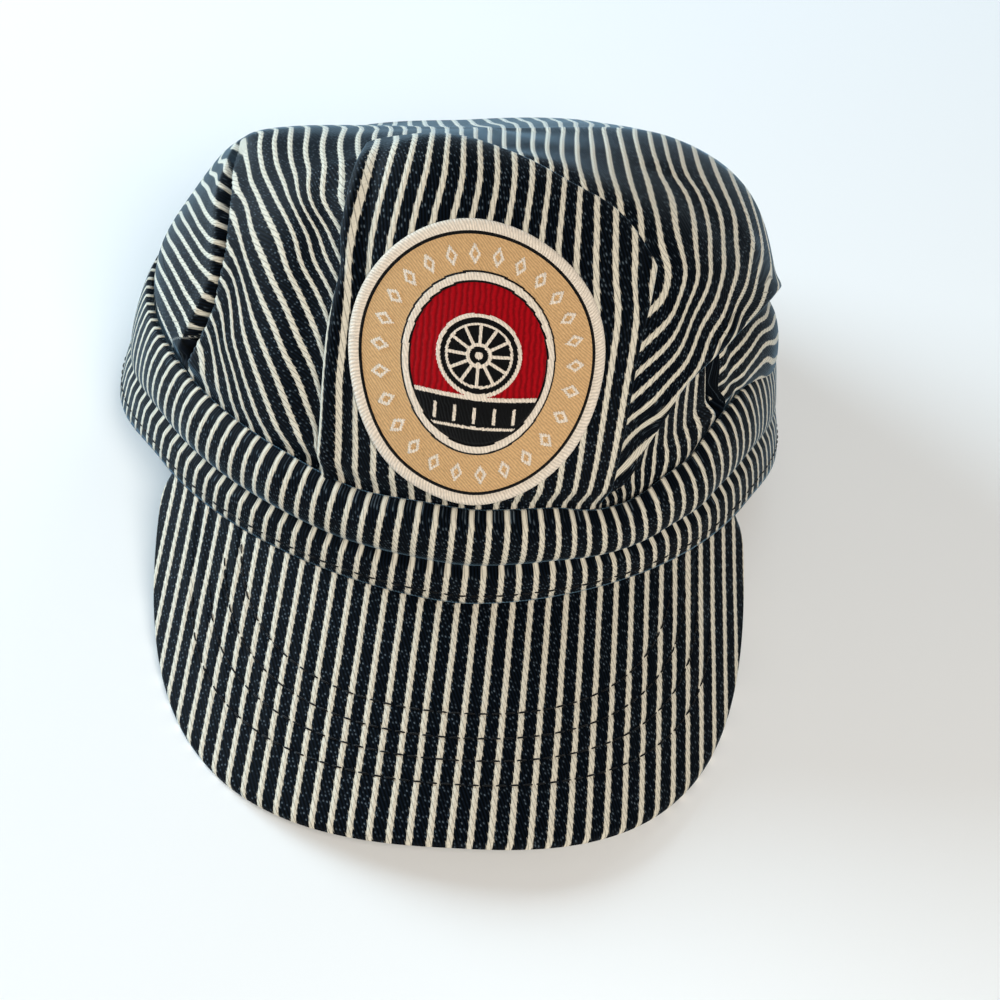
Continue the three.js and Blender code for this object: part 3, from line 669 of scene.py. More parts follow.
def band_lower(angle, inset=0.0):
    """Height of the band's lower edge: on the bill in front, level behind."""
    side = np.abs(turned(angle))
    x, y = head_outline(np.minimum(side, BILL_END), inset)
    return bill_height(x, y) * (1 - smooth(BILL_END, BILL_END + BAND_LOWER_TURN, side))


def band_pull(angle, place):
    """How far the crown pulls the band's upper edge up (1) or in (2)."""
    return along_table(BAND_PULLS, angle, place, FULL_TURN)


def band_upper(angle):
    """Height of the band's upper edge."""
    return BAND_UPPER_SHARE * band_lower(angle) + BAND_HEIGHT + band_pull(angle, 1)


def crown_form(angle, rise):
    """The crown's smooth form at an angle round and a share of rise from the rim to the middle."""
    angle, rise = np.broadcast_arrays(np.asarray(angle, float), np.asarray(rise, float))
    outs = [np.ones(angle.shape), section("wall_out", angle), section("shoulder_out", angle),
            section("top_out", angle), np.zeros(angle.shape)]
    ups = [band_upper(angle), section("wall_up", angle), section("shoulder_up", angle),
           section("top_up", angle), np.full(angle.shape, CROWN_CENTRE_HEIGHT)]
    x, y = head_outline(angle, RIM_INSET)
    pulled_x, pulled_y = head_outline(angle, RIM_INSET + band_pull(angle, 2))
    out = through(RISE_ROWS, outs, rise)
    near_rim = 1 - smooth(0, RISE_ROWS[1], rise)
    return np.stack([x * out + (pulled_x - x) * near_rim, y * out + (pulled_y - y) * near_rim,
                     through(RISE_ROWS, ups, rise)], -1)


def facing(angle, rise):
    """Outward direction of the smooth form."""
    held = np.clip(rise, STEP_RISE, FACING_TOP)
    along = crown_form(angle + STEP_ANGLE, held) - crown_form(angle - STEP_ANGLE, held)
    up = crown_form(angle, held + STEP_RISE) - crown_form(angle, held - STEP_RISE)
    return unit(np.cross(along, up))


def rim_tuck(angle, rise):
    """How far the cloth goes in behind the band, more where the front panel lies over it."""
    share = smooth(*PANEL_TUCK_TURN, np.abs(turned(angle)))
    deep = RIM_TUCK_PANEL + (RIM_TUCK - RIM_TUCK_PANEL) * share
    return deep * (1 - smooth(0, RIM_TUCK_RISE, rise))


def off_crown(angle, rise, out):
    """Places that stand out from the smooth form by so many millimetres."""
    return crown_form(angle, rise) + facing(angle, rise) * np.asarray(out)[..., None]


def skirt(angle, out):
    """Edge of the cloth that goes down inside the band."""
    deep = rim_tuck(angle, 0.0)
    x, y = head_outline(angle, RIM_INSET + band_pull(angle, 2) + deep - out)
    return np.stack([x, y, band_upper(angle) - SKIRT_DEPTH + 0 * x], -1)


def finer(path, steps=5):
    """A path with more places on it, through the same ones."""
    at = np.linspace(0, len(path) - 1, (len(path) - 1) * steps + 1)
    index = list(range(len(path)))
    return np.stack([through(index, [p[k] for p in path], at) for k in (0, 1)], -1)


def near(path, angle, rise):
    """Signed distance in millimetres from a path, its share along, and the nearest place on it."""
    points = finer(path) * (WALL_PER_DEGREE, WALL_PER_RISE)
    at = np.stack([angle * WALL_PER_DEGREE, rise * WALL_PER_RISE], -1)
    best = np.full(angle.shape, np.inf)
    sign, share = np.ones(angle.shape), np.zeros(angle.shape)
    place = np.zeros(at.shape)
    for index in range(len(points) - 1):
        start, along = points[index], points[index + 1] - points[index]
        offset = at - start
        part = np.clip((offset @ along) / (along @ along), 0, 1)
        foot = start + part[..., None] * along
        distance = np.linalg.norm(at - foot, axis=-1)
        closer = distance < best
        best = np.where(closer, distance, best)
        side = np.sign(along[0] * offset[..., 1] - along[1] * offset[..., 0])
        sign = np.where(closer, np.where(side == 0, 1, side), sign)
        share = np.where(closer, (index + part) / (len(points) - 1), share)
        place = np.where(closer[..., None], foot, place)
    return best * sign, share, place / (WALL_PER_DEGREE, WALL_PER_RISE)


def ends(share, start, end):
    """1 along a path, falling to 0 over its first and last shares."""
    first = smooth(0, start, share) if start else 1
    last = smooth(0, end, 1 - share) if end else 1
    return first * last


def drawn_in(path, angle, rise, reach, start=0.0, end=0.0):
    """Moves the places near a path closer to it, so that a crisp edge gets enough of the mesh."""
    distance, share, place = near(path, angle, rise)
    pull = np.clip(np.abs(distance) / reach, 0, 1)
    pull = 1 + (pull - 1) * ends(share, start, end)
    return place[..., 0] + (angle - place[..., 0]) * pull, place[..., 1] + (rise - place[..., 1]) * pull


def cloth_field(stripes, more=()):
    """How the cloth lies: gives, for points on the form, the stripe's number and the length along it."""
    points, values = [], []
    beside, beside_along = None, None
    for number, path in stripes:
        path = np.array(path, float)
        placed = crown_form(path[:, 0], path[:, 1])
        along = lengths_along(placed)
        # The length along starts so that it agrees with the stripe beside it.
        if beside is not None:
            nearest = np.linalg.norm(placed[:, None] - beside[None], axis=-1).argmin(1)
            along = along + np.median(beside_along[nearest] - along)
        beside_along = np.linspace(along[0], along[-1], FIELD_PLACES)
        beside = places_along(beside_along, along, placed)
        points.append(placed)
        values.append(np.stack([np.full(len(path), number), along], -1))
    for angle, rise, number, along in more:
        points.append(crown_form(np.array([angle]), np.array([rise])))
        values.append(np.array([[number, along]], float))
    points, values = np.concatenate(points), np.concatenate(values)
    count = len(points)

    def spread(where):
        """Rounded distances from the stripes' places, below zero, and the terms of a plane."""
        apart = np.sqrt(((where[:, None] - points[None]) ** 2).sum(-1) + FIELD_ROUNDING**2)
        return -apart, np.concatenate([np.ones((len(where), 1)), where / FIELD_SCALE], 1)

    apart, plane = spread(points)
    system = np.block([[apart + FIELD_SLACK * np.eye(count), plane], [plane.T, np.zeros((4, 4))]])
    weights = np.linalg.solve(system, np.concatenate([values, np.zeros((4, 2))]))

    def at(where):
        flat = where.reshape(-1, 3)
        result = np.empty((len(flat), 2))
        for start in range(0, len(flat), FIELD_BATCH):
            apart, plane = spread(flat[start:start + FIELD_BATCH])
            result[start:start + FIELD_BATCH] = apart @ weights[:count] + plane @ weights[count:]
        return result.reshape(*where.shape[:-1], 2)

    return at


def back_rows():
    """Where the stripes run on the back and sides that the front view doesn't show."""
    rows = []
    for angle in BACK_ANGLES:
        for rise in BACK_RISES:
            x = crown_form(np.array([angle]), np.array([rise]))[0, 0]
            length = BACK_LENGTH - (BACK_RISES[-1] - rise) * BACK_LENGTH_PER_RISE
            rows.append((angle, rise, BACK_MIDDLE_STRIPE + x / BACK_PITCH, length))
    return rows + SIDE_PLACES


def fold_split(side):
    """Rise of the row of the mesh that the right fold's edge follows, and level beyond the fold."""
    return LEVEL_ROW + (along_table(RIGHT_FOLD, side) - LEVEL_ROW) * only_between(side, *FOLD_REACH)


def fold_hang(side):
    """How fully the right fold hangs at an angle."""
    return only_between(side, *FOLD_HANG)


def soft_dents(side, rise):
    """How far out the soft ridges stand, and the dents go in, in millimetres."""
    out = np.zeros(side.shape)
    for depth, above, below, path in SOFT_FOLDS:
        distance, share, _ = near(path, side, rise)
        width = np.where(distance > 0, above, below)
        out -= depth * ends(share, DENT_END, DENT_END) * hump(distance, width)
    return out


def valley(side, rise, crisp):
    """Left side: the front cloth ends in a crisp edge over a deep valley, with a loose flap beyond it."""
    front, front_share, front_place = near(VALLEY_EDGE, side, rise)
    flap, flap_share, _ = near(FLAP_EDGE, side, rise)
    far = smooth(0, VALLEY_RUN_OUT, 1 - front_share)
    flap_far = smooth(0, VALLEY_RUN_OUT, 1 - flap_share)
    inside = smooth(-crisp, crisp, front) * smooth(*FLAP_FOOT, flap)
    deep = VALLEY_DEPTH + VALLEY_DEEPER * hump(rise - VALLEY_DEEPEST, VALLEY_DEEP_WIDTH)
    roll = np.where(front < 0, hump(front, EDGE_ROLL_WIDTH), 0) * far
    flap_roll = np.where(flap > 0, hump(flap - FLAP_ROLL_PLACE, FLAP_ROLL_WIDTH), 0) * flap_far
    overhang = np.where(front < 0, hump(front, OVERHANG_WIDTH), 0) * far
    return ROLL_HEIGHT * (roll + flap_roll) - deep * far * inside, front, front_place, overhang


def pleat_hang(side, place):
    """How far the pleat hangs out (1) or down (2), in millimetres."""
    return along_table(PLEAT_HANG, side, place)


def crown_grid(angles):
    """The crown body's cloth as rows of points, from the rim up, with the places on the form they belong to.

    The rows follow the right fold: those of the gathers and pleat below it, those of the turned cloth behind
    its edge, and those of the cloth that hangs over them. The level counts these three.
    """
    low = np.linspace(0, 1, GATHER_ROWS)
    turn = np.array(FOLD_TURN)
    high = spaced(LIP_ROWS, UPPER_ROWS)
    side = turned(angles)[None]
    beyond = (angles - turned(angles))[None]
    split, hang = fold_split(side), fold_hang(side)
    rise = np.concatenate([split * low[:, None], split + turn[:, :1] * hang,
                           split + (TOP_RISE - split) * high[:, None]])
    level = np.repeat([0, 1, 2], [len(low), len(turn), len(high)])[:, None]
    side = np.broadcast_to(side, rise.shape)
    past = (rise - split) * WALL_PER_RISE

    # The columns of the mesh lean over with the pocket's edges.
    column = side
    lean = along_table(POCKET_LEFT, rise) - POCKET_START
    side = side + lean * only_between(side, *POCKET_LEAN)
    pulled_side, pulled_rise = drawn_in(VALLEY_EDGE, side, rise, VALLEY_DRAW, 0, VALLEY_DRAW_END)
    side = np.where(column < LEFT_SIDE, pulled_side, side)
    rise = np.where(column < LEFT_SIDE, np.clip(pulled_rise, 0, TOP_RISE), rise)
    rise[0] = 0

    hold = ends(rise, RIM_HOLD, TOP_HOLD)
    left, front, front_place, overhang = valley(side, rise, CRISP_EDGE)
    out = (soft_dents(side, rise) + left) * hold
    out = out + hang * np.where(level == 2, FOLD_LIP * hump(past, FOLD_LIP_WIDTH), 0)
    out[len(low):len(low) + len(turn)] += turn[:, 1:] * hang

    # Below the fold: gathers, the pocket, and the pleat that comes out over the band.
    share = np.clip(rise / np.maximum(split, LOWEST_SPLIT), 0, 1)
    pleated = smooth(POCKET_END, POCKET_END + PLEAT_TURN, column)
    depth = FOLD_DEPTH * (smooth(*GATHER_DEEPENS, share) * (1 - pleated)
                          + smooth(*PLEAT_DEEPENS, share) * pleated)
    pocket = only_between(column, POCKET_START - POCKET_WALL, POCKET_START + POCKET_WALL,
                          POCKET_END - POCKET_WALL, POCKET_END + POCKET_WALL)
    hem = hump(column - POCKET_START + HEM_WIDTH, HEM_WIDTH) * (column < POCKET_START)
    fat = hump(column - POCKET_END - PLEAT_EDGE_WIDTH, PLEAT_EDGE_WIDTH) * (column > POCKET_END)
    under = -depth - POCKET_DEPTH * pocket * smooth(*POCKET_OPENS, share)
    under = under + EDGE_FULLNESS * (hem + fat) * smooth(*EDGE_FILLS, share)
    under = under + pleat_hang(side, 1) * only_between(share, *PLEAT_SWING)
    out = out + np.where(level == 0, under * hang, 0)
    droop = np.where(level == 0, pleat_hang(side, 2) * only_between(share, *PLEAT_DROOP), 0)

    # The front cloth's edge slides out over the left valley.
    across = (side - front_place[..., 0]) * WALL_PER_DEGREE
    up = (rise - front_place[..., 1]) * WALL_PER_RISE
    step = VALLEY_OVERHANG * overhang / np.maximum(np.hypot(across, up), SHORTEST_STEP)
    slid_side = side - step * across / WALL_PER_DEGREE
    slid_rise = np.clip(rise - step * up / WALL_PER_RISE, 0, 1)
    surface = off_crown(slid_side + beyond, slid_rise, out - rim_tuck(slid_side, slid_rise))
    surface[..., 2] -= droop
    return surface, side + beyond, rise, column, level, front


def crown_lining(angles, rises):
    """The inner side of the crown body's cloth, behind all its folds."""
    angle, rise = np.meshgrid(angles, rises)
    side = turned(angle)
    folds = np.minimum(soft_dents(side, rise) + valley(side, rise, LINING_EDGE)[0], 0)
    below = 1 - smooth(*LINING_BELOW, rise - fold_split(side))
    pocket = only_between(side, *LINING_POCKET) * smooth(0, LINING_POCKET_RISE, rise)
    out = folds * smooth(0, RIM_HOLD, rise) * LINING_DEEPER
    hung = FOLD_DEPTH * smooth(0, LINING_FOLD_RISE, rise) + POCKET_DEPTH * pocket
    out = out - fold_hang(side) * below * hung
    out = out - CLOTH - LINING_GAP * smooth(0, LINING_GAP_RISE, rise)
    return off_crown(angle, rise, out - rim_tuck(angle, rise))


def at_rest(points):
    """From the cap's own frame in millimetres to its place on the floor in metres."""
    x, y, z = points[..., 0], points[..., 1], points[..., 2]
    along, up = math.cos(REST_TILT), math.sin(REST_TILT)
    return np.stack([x, y * along + z * up + REST_SHIFT_Y, -y * up + z * along + REST_SHIFT_Z], -1) / MM


def mesh_piece(name, points, faces, uvs, materials=(), kinds=None):
    """A mesh object from arrays: faces is a list of index arrays with three or four columns, uvs the same."""
    mesh = bpy.data.meshes.new(name)
    points = at_rest(points)
    corners = np.concatenate([f.ravel() for f in faces])
    sizes = np.concatenate([np.full(len(f), f.shape[1]) for f in faces])
    mesh.vertices.add(len(points))
    mesh.vertices.foreach_set("co", points.astype(np.float32).ravel())
    mesh.loops.add(len(corners))
    mesh.loops.foreach_set("vertex_index", corners.astype(np.int32))
    mesh.polygons.add(len(sizes))
    mesh.polygons.foreach_set("loop_start", np.concatenate([[0], np.cumsum(sizes)[:-1]]).astype(np.int32))
    layer = mesh.uv_layers.new(name="cloth")
    layer.data.foreach_set("uv", np.concatenate([u.reshape(-1, 2) for u in uvs]).astype(np.float32).ravel())
    for material in materials:
        mesh.materials.append(material)
    if kinds is not None:
        mesh.polygons.foreach_set("material_index", kinds.astype(np.int32))
    mesh.update(calc_edges=True)
    mesh.validate()
    mesh.shade_smooth()
    piece = bpy.data.objects.new(name, mesh)
    bpy.context.scene.collection.objects.link(piece)
    return piece


def grid(first, rows, columns, closed):
    """Quads of a grid of points laid out row by row, and the same quads on a grid that doesn't close."""
    wide = columns if closed else columns - 1
    row, place = np.meshgrid(np.arange(rows - 1), np.arange(wide), indexing="ij")

    def quads(width, after):
        here, above = row * width, (row + 1) * width
        return np.stack([here + place, here + after, above + after, above + place], -1).reshape(-1, 4)

    after = (place + 1) % columns if closed else place + 1
    return quads(columns, after) + first, quads(wide + 1, place + 1)


def shell(outer, outer_uv, inner, inner_uv, closed, pole=False):
    """Points, faces and UVs of a closed shell from an outer and an inner grid of points.

    A closed grid's last column repeats the first, so that its UVs can run on. A pole ends both grids
    in one point, given as their last row.
    """
    points, faces, uvs = [], [], []
    first = 0
    edges = []
    for layer, (grid_points, grid_uv) in enumerate(((outer, outer_uv), (inner, inner_uv))):
        rows, full = grid_points.shape[:2]
        columns = full - 1 if closed else full
        kept = rows - 1 if pole else rows
        quads, flat = grid(first, kept, columns, closed)
        uv = grid_uv.reshape(-1, 2)[flat]
        if layer:
            quads, uv = quads[:, ::-1], uv[:, ::-1]
        faces.append(quads)
        uvs.append(uv)
        points.append(grid_points[:kept, :columns].reshape(-1, 3))
        index = first + np.arange(kept * columns).reshape(kept, columns)
        if closed:
            index = np.concatenate([index, index[:, :1]], 1)
        edges.append((index, grid_uv))
        first += kept * columns
        if pole:
            points.append(grid_points[-1, :1])
            fan = np.stack([index[-1, :-1], index[-1, 1:], np.full(columns, first)], -1)
            fan_uv = np.stack([grid_uv[kept - 1, :-1], grid_uv[kept - 1, 1:],
                               np.broadcast_to(grid_uv[-1, :1], (columns, 2))], 1)
            if layer:
                fan, fan_uv = fan[:, ::-1], fan_uv[:, ::-1]
            faces.append(fan)
            uvs.append(fan_uv)
            first += 1
    (out, out_uv), (ins, ins_uv) = edges

    def join(a, a_uv, b, b_uv):
        faces.append(np.stack([a[:-1], b[:-1], b[1:], a[1:]], -1))
        uvs.append(np.stack([a_uv[:-1], b_uv[:-1], b_uv[1:], a_uv[1:]], 1))

    join(out[0], out_uv[0], ins[0], ins_uv[0])
    if not pole:
        join(ins[-1], ins_uv[-1], out[-1], out_uv[-1])
    if not closed:
        join(ins[:, 0], ins_uv[:, 0], out[:, 0], out_uv[:, 0])
        join(out[:, -1], out_uv[:, -1], ins[:, -1], ins_uv[:, -1])
    points = np.concatenate(points)
    quads = [f for f in faces if f.shape[1] == 4][0]
    a, b, c = points[quads[:, 0]], points[quads[:, 1]], points[quads[:, 2]]
    middle = points.mean(0)
    if np.einsum("ij,ij->i", a - middle, np.cross(b - middle, c - middle)).sum() < 0:
        faces = [f[:, ::-1] for f in faces]
        uvs = [u[:, ::-1] for u in uvs]
    return points, faces, uvs


def dress(piece, nodes):
    """Ties a piece to the frame's root, in place of its solids, which it hides."""
    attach(piece, "root")
    if nodes:
        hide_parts(*nodes)
    return piece


def linear(colour):
    """Linear colour from an sRGB hex value."""
    parts = [int(colour[k:k + 2], 16) / 255 for k in (1, 3, 5)]
    return [p / 12.92 if p <= 0.04045 else ((p + 0.055) / 1.055) ** 2.4 for p in parts]


def add(tree, kind, links=None, **settings):
    """Adds a node with its settings, and fills its inputs with values or with other nodes' outputs."""
    node = tree.nodes.new(kind)
    for name, value in settings.items():
        setattr(node, name, value)
    for place, value in (links or {}).items():
        if isinstance(value, bpy.types.Node):
            value = value.outputs[0]
        if isinstance(value, bpy.types.NodeSocket):
            tree.links.new(value, node.inputs[place])
        else:
            node.inputs[place].default_value = value
    return node


def new_material(name):
    """An empty material and its node tree."""
    material = bpy.data.materials.new(name)
    material.use_nodes = True
    material.node_tree.nodes.clear()
    return material, material.node_tree


def striped_denim(colours, sizes):
    """Hickory-striped denim: indigo cotton twill with thick plied cream ends woven in, washed once.

    It gives the eye a matt, nearly black blue ground with pale flecks of weft along its slanting ribs, and
    cream stripes that stand proud like small ropes, whose steeply crossing plies give their edges barbs.
    """
    material, tree = new_material("striped_denim_twill")
    uv = add(tree, "ShaderNodeUVMap", uv_map="cloth")
    parts = add(tree, "ShaderNodeSeparateXYZ", {0: uv})
    u, v = parts.outputs[0], parts.outputs[1]
    pitch = sizes.stripe_pitch * MM
    width = sizes.stripe_width * MM
    twist = sizes.rope_twist * MM

    # Distance from the middle of the nearest stripe, where the stripes wander a little.
    noise = add(tree, "ShaderNodeTexNoise", {"Vector": uv, "Scale": 0.12, "Detail": 2.0})
    wander = add(tree, "ShaderNodeMath", {0: noise, 1: STRIPE_WANDER, 2: -STRIPE_WANDER / 2},
                 operation="MULTIPLY_ADD")
    across = add(tree, "ShaderNodeMath", {0: u, 1: wander}, operation="ADD")
    counted = add(tree, "ShaderNodeMath", {0: across, 1: 1 / pitch, 2: 0.5}, operation="MULTIPLY_ADD")
    share = add(tree, "ShaderNodeMath", {0: counted}, operation="FRACT")
    from_middle = add(tree, "ShaderNodeMath", {0: share, 1: pitch, 2: -pitch / 2}, operation="MULTIPLY_ADD")
    distance = add(tree, "ShaderNodeMath", {0: from_middle}, operation="ABSOLUTE")

    # Where one ply of a cream end goes under the next: a slanting line, once in each twist.
    twists = add(tree, "ShaderNodeMath", {0: v, 1: 1 / twist}, operation="MULTIPLY")
    crossing = add(tree, "ShaderNodeMath", {0: from_middle, 1: -PLY_SLANT / twist, 2: twists},
                   operation="MULTIPLY_ADD")
    moved = add(tree, "ShaderNodeMath", {0: crossing, 1: 0.5}, operation="ADD")
    crossing_share = add(tree, "ShaderNodeMath", {0: moved}, operation="FRACT")
    centred = add(tree, "ShaderNodeMath", {0: crossing_share, 1: 0.5}, operation="SUBTRACT")
    from_crossing = add(tree, "ShaderNodeMath", {0: centred}, operation="ABSOLUTE")
    barb = add(tree, "ShaderNodeMath", {0: from_crossing, 1: -BARB_HEIGHT / BARB_SHARE, 2: BARB_HEIGHT},
               operation="MULTIPLY_ADD", use_clamp=True)
    ragged = add(tree, "ShaderNodeTexNoise", {"Vector": uv, "Scale": 1.6, "Detail": 2.0})
    edge = add(tree, "ShaderNodeMath", {0: ragged, 1: RAGGED_EDGE, 2: width / 2 - RAGGED_EDGE / 2},
               operation="MULTIPLY_ADD")
    reach = add(tree, "ShaderNodeMath", {0: edge, 1: barb}, operation="ADD")
    over = add(tree, "ShaderNodeMath", {0: reach, 1: distance}, operation="SUBTRACT")
    cream = add(tree, "ShaderNodeMapRange", {0: over, 1: -0.05, 2: 0.07, 3: 0.0, 4: 1.0})
    # Painted shade: the cream darkens in the groove where one ply goes under the next.
    groove = add(tree, "ShaderNodeMapRange", {0: from_crossing, 1: 0.02, 2: 0.13, 3: 0.4, 4: 1.0})

    # Twill ribs slant like the plies: drawn coarser than woven, so that they show. Their hollows are coloured
    # darker as painted shade.
    ribs_across = add(tree, "ShaderNodeMath", {0: u, 1: -1 / RIB_SPACING}, operation="MULTIPLY")
    rib = add(tree, "ShaderNodeMath", {0: v, 1: 1 / (PLY_SLANT * RIB_SPACING), 2: ribs_across},
              operation="MULTIPLY_ADD")
    rib_turn = add(tree, "ShaderNodeMath", {0: rib, 1: 2 * math.pi}, operation="MULTIPLY")
    rib_wave = add(tree, "ShaderNodeMath", {0: rib_turn}, operation="SINE")
    twill = add(tree, "ShaderNodeMath", {0: rib_wave, 1: 0.5, 2: 0.5}, operation="MULTIPLY_ADD")

    # Flecks of pale weft, one in each few crossings of the weave.
    fleck_rows = add(tree, "ShaderNodeMath", {0: v, 1: 1 / FLECK_SPACING}, operation="MULTIPLY")
    weave = add(tree, "ShaderNodeCombineXYZ", {0: rib, 1: fleck_rows})
    cells = add(tree, "ShaderNodeTexVoronoi", {"Vector": weave, "Scale": 1.0, "Randomness": 0.7},
                voronoi_dimensions="2D")
    chance = add(tree, "ShaderNodeSeparateXYZ", {0: cells.outputs["Color"]})
    fleck = add(tree, "ShaderNodeMapRange", {0: cells.outputs["Distance"], 1: 0.3, 2: 0.08, 3: 0.0, 4: 1.0})
    chosen = add(tree, "ShaderNodeMapRange", {0: chance.outputs[0], 1: 0.4, 2: 1.0, 3: 0.0, 4: 0.3})
    flecks = add(tree, "ShaderNodeMath", {0: fleck, 1: chosen}, operation="MULTIPLY")

    # Colours of the ground, darker in the twill's hollows as painted shade, and of the cream ends, darker in
    # the plies' grooves as painted shade. Output 2 of a colour mix is its colour.
    ground = add(tree, "ShaderNodeMix", {"Factor": twill, "A": (*colours.indigo_painted_hollow_shade, 1),
                                         "B": (*colours.indigo, 1)}, data_type="RGBA")
    dark = add(tree, "ShaderNodeMix", {"Factor": flecks, "A": ground.outputs[2], "B": (*colours.fleck, 1)},
               data_type="RGBA")
    fibre = add(tree, "ShaderNodeTexNoise", {"Vector": uv, "Scale": 2.2, "Detail": 3.0})
    fibre_share = add(tree, "ShaderNodeMapRange", {0: fibre, 1: 0.3, 2: 0.7, 3: 0.84, 4: 1.08})
    # The cream's colour carries the painted ply shade and a random fibre tone.
    painted_ply_shade_and_fibre_tone = add(tree, "ShaderNodeMath", {0: groove, 1: fibre_share}, operation="MULTIPLY")
    rope = add(tree, "ShaderNodeVectorMath", {0: colours.cream, "Scale": painted_ply_shade_and_fibre_tone}, operation="SCALE")
    base = add(tree, "ShaderNodeMix", {"Factor": cream, "A": dark.outputs[2], "B": rope}, data_type="RGBA")

    # Relief: round ropes with a groove at each crossing, over low ribs.
    round_rope = add(tree, "ShaderNodeMath", {0: over, 1: 1.1}, operation="MULTIPLY", use_clamp=True)
    ply = add(tree, "ShaderNodeMapRange", {0: from_crossing, 1: 0.0, 2: 0.2, 3: 0.55, 4: 0.85})
    low_ribs = add(tree, "ShaderNodeMath", {0: twill, 1: 0.12}, operation="MULTIPLY")
    height = add(tree, "ShaderNodeMath", {0: round_rope, 1: ply, 2: low_ribs}, operation="MULTIPLY_ADD")
    bump = add(tree, "ShaderNodeBump", {"Strength": 0.7, "Distance": 0.0005, "Height": height})
    shader = add(tree, "ShaderNodeBsdfPrincipled",
                 {"Base Color": base.outputs[2], "Roughness": 0.62, "IOR": 1.45, "Specular IOR Level": 0.08,
                  "Sheen Weight": 0.3, "Sheen Roughness": 0.25, "Sheen Tint": (0.4, 0.72, 1.0, 1),
                  "Normal": bump})
    add(tree, "ShaderNodeOutputMaterial", {0: shader})
    return material


def thread(name, colour, per_mm, slant, rough=0.6, depth=0.0003, sheen=0.1, painted_row_shade=0.25):
    """Embroidery thread: trilobal polyester laid side by side.

    It gives the eye a soft gleam and fine lines along each run, which wobble a little and differ in depth.
    The lines are painted shade in its colour, darker where the laid threads meet, over a bump.
    """
    material, tree = new_material(name)
    uv = add(tree, "ShaderNodeUVMap", uv_map="cloth")
    parts = add(tree, "ShaderNodeSeparateXYZ", {0: uv})
    wobble = add(tree, "ShaderNodeTexNoise", {"Vector": uv, "Scale": 0.35, "Detail": 2.0})
    bent = add(tree, "ShaderNodeMath", {0: wobble, 1: 1.2, 2: parts.outputs[0]}, operation="MULTIPLY_ADD")
    lean = add(tree, "ShaderNodeMath", {0: parts.outputs[1], 1: slant, 2: bent}, operation="MULTIPLY_ADD")
    turns = add(tree, "ShaderNodeMath", {0: lean, 1: 2 * math.pi * per_mm}, operation="MULTIPLY")
    wave = add(tree, "ShaderNodeMath", {0: turns}, operation="SINE")
    rows = add(tree, "ShaderNodeMath", {0: wave, 1: 0.5, 2: 0.5}, operation="MULTIPLY_ADD")
    fibre = add(tree, "ShaderNodeTexNoise", {"Vector": uv, "Scale": 1.4, "Detail": 3.0})
    # Painted shade: the colour darkens in the grooves between the laid threads, and varies at random in
    # patches.
    shade = add(tree, "ShaderNodeMapRange", {0: rows, 1: 0.0, 2: 0.8, 3: 1 - painted_row_shade, 4: 1.0})
    patchy = add(tree, "ShaderNodeMapRange", {0: fibre, 1: 0.3, 2: 0.7, 3: 0.88, 4: 1.1})
    light = add(tree, "ShaderNodeMath", {0: shade, 1: patchy}, operation="MULTIPLY")
    base = add(tree, "ShaderNodeVectorMath", {0: colour, "Scale": light}, operation="SCALE")
    bump = add(tree, "ShaderNodeBump", {"Strength": 0.5, "Distance": depth, "Height": rows})
    shader = add(tree, "ShaderNodeBsdfPrincipled",
                 {"Base Color": base, "Roughness": rough, "IOR": 1.5, "Specular IOR Level": 0.2,
                  "Sheen Weight": sheen, "Normal": bump})
    add(tree, "ShaderNodeOutputMaterial", {0: shader})
    return material


class CapSizes(bpy.types.PropertyGroup):
    stripe_pitch: bpy.props.FloatProperty(
        name="Stripe pitch", description="From one cream stripe to the next", default=0.0046,
        min=0.001, unit="LENGTH", precision=4)
    stripe_width: bpy.props.FloatProperty(
        name="Stripe width", description="Width of a cream stripe between its barbs", default=0.00136,
        min=0.0002, unit="LENGTH", precision=4)
    rope_twist: bpy.props.FloatProperty(
        name="Rope twist", description="Length of one twist of a cream stripe's plies", default=0.00255,
        min=0.0002, unit="LENGTH", precision=4)
    stitch_length: bpy.props.FloatProperty(
        name="Stitch length", description="Length of one topstitch", default=0.0026,
        min=0.0005, unit="LENGTH", precision=4)
    stitch_gap: bpy.props.FloatProperty(
        name="Stitch gap", description="Gap between two topstitches", default=0.0007,
        min=0.0001, unit="LENGTH", precision=4)
    thread_thickness: bpy.props.FloatProperty(
        name="Thread thickness", description="Thickness of the topstitching thread", default=0.00045,
        min=0.0001, unit="LENGTH", precision=5)
    lens: bpy.props.FloatProperty(
        name="Lens", description="Focal length of the camera's lens, in millimetres", default=60.87, min=10)


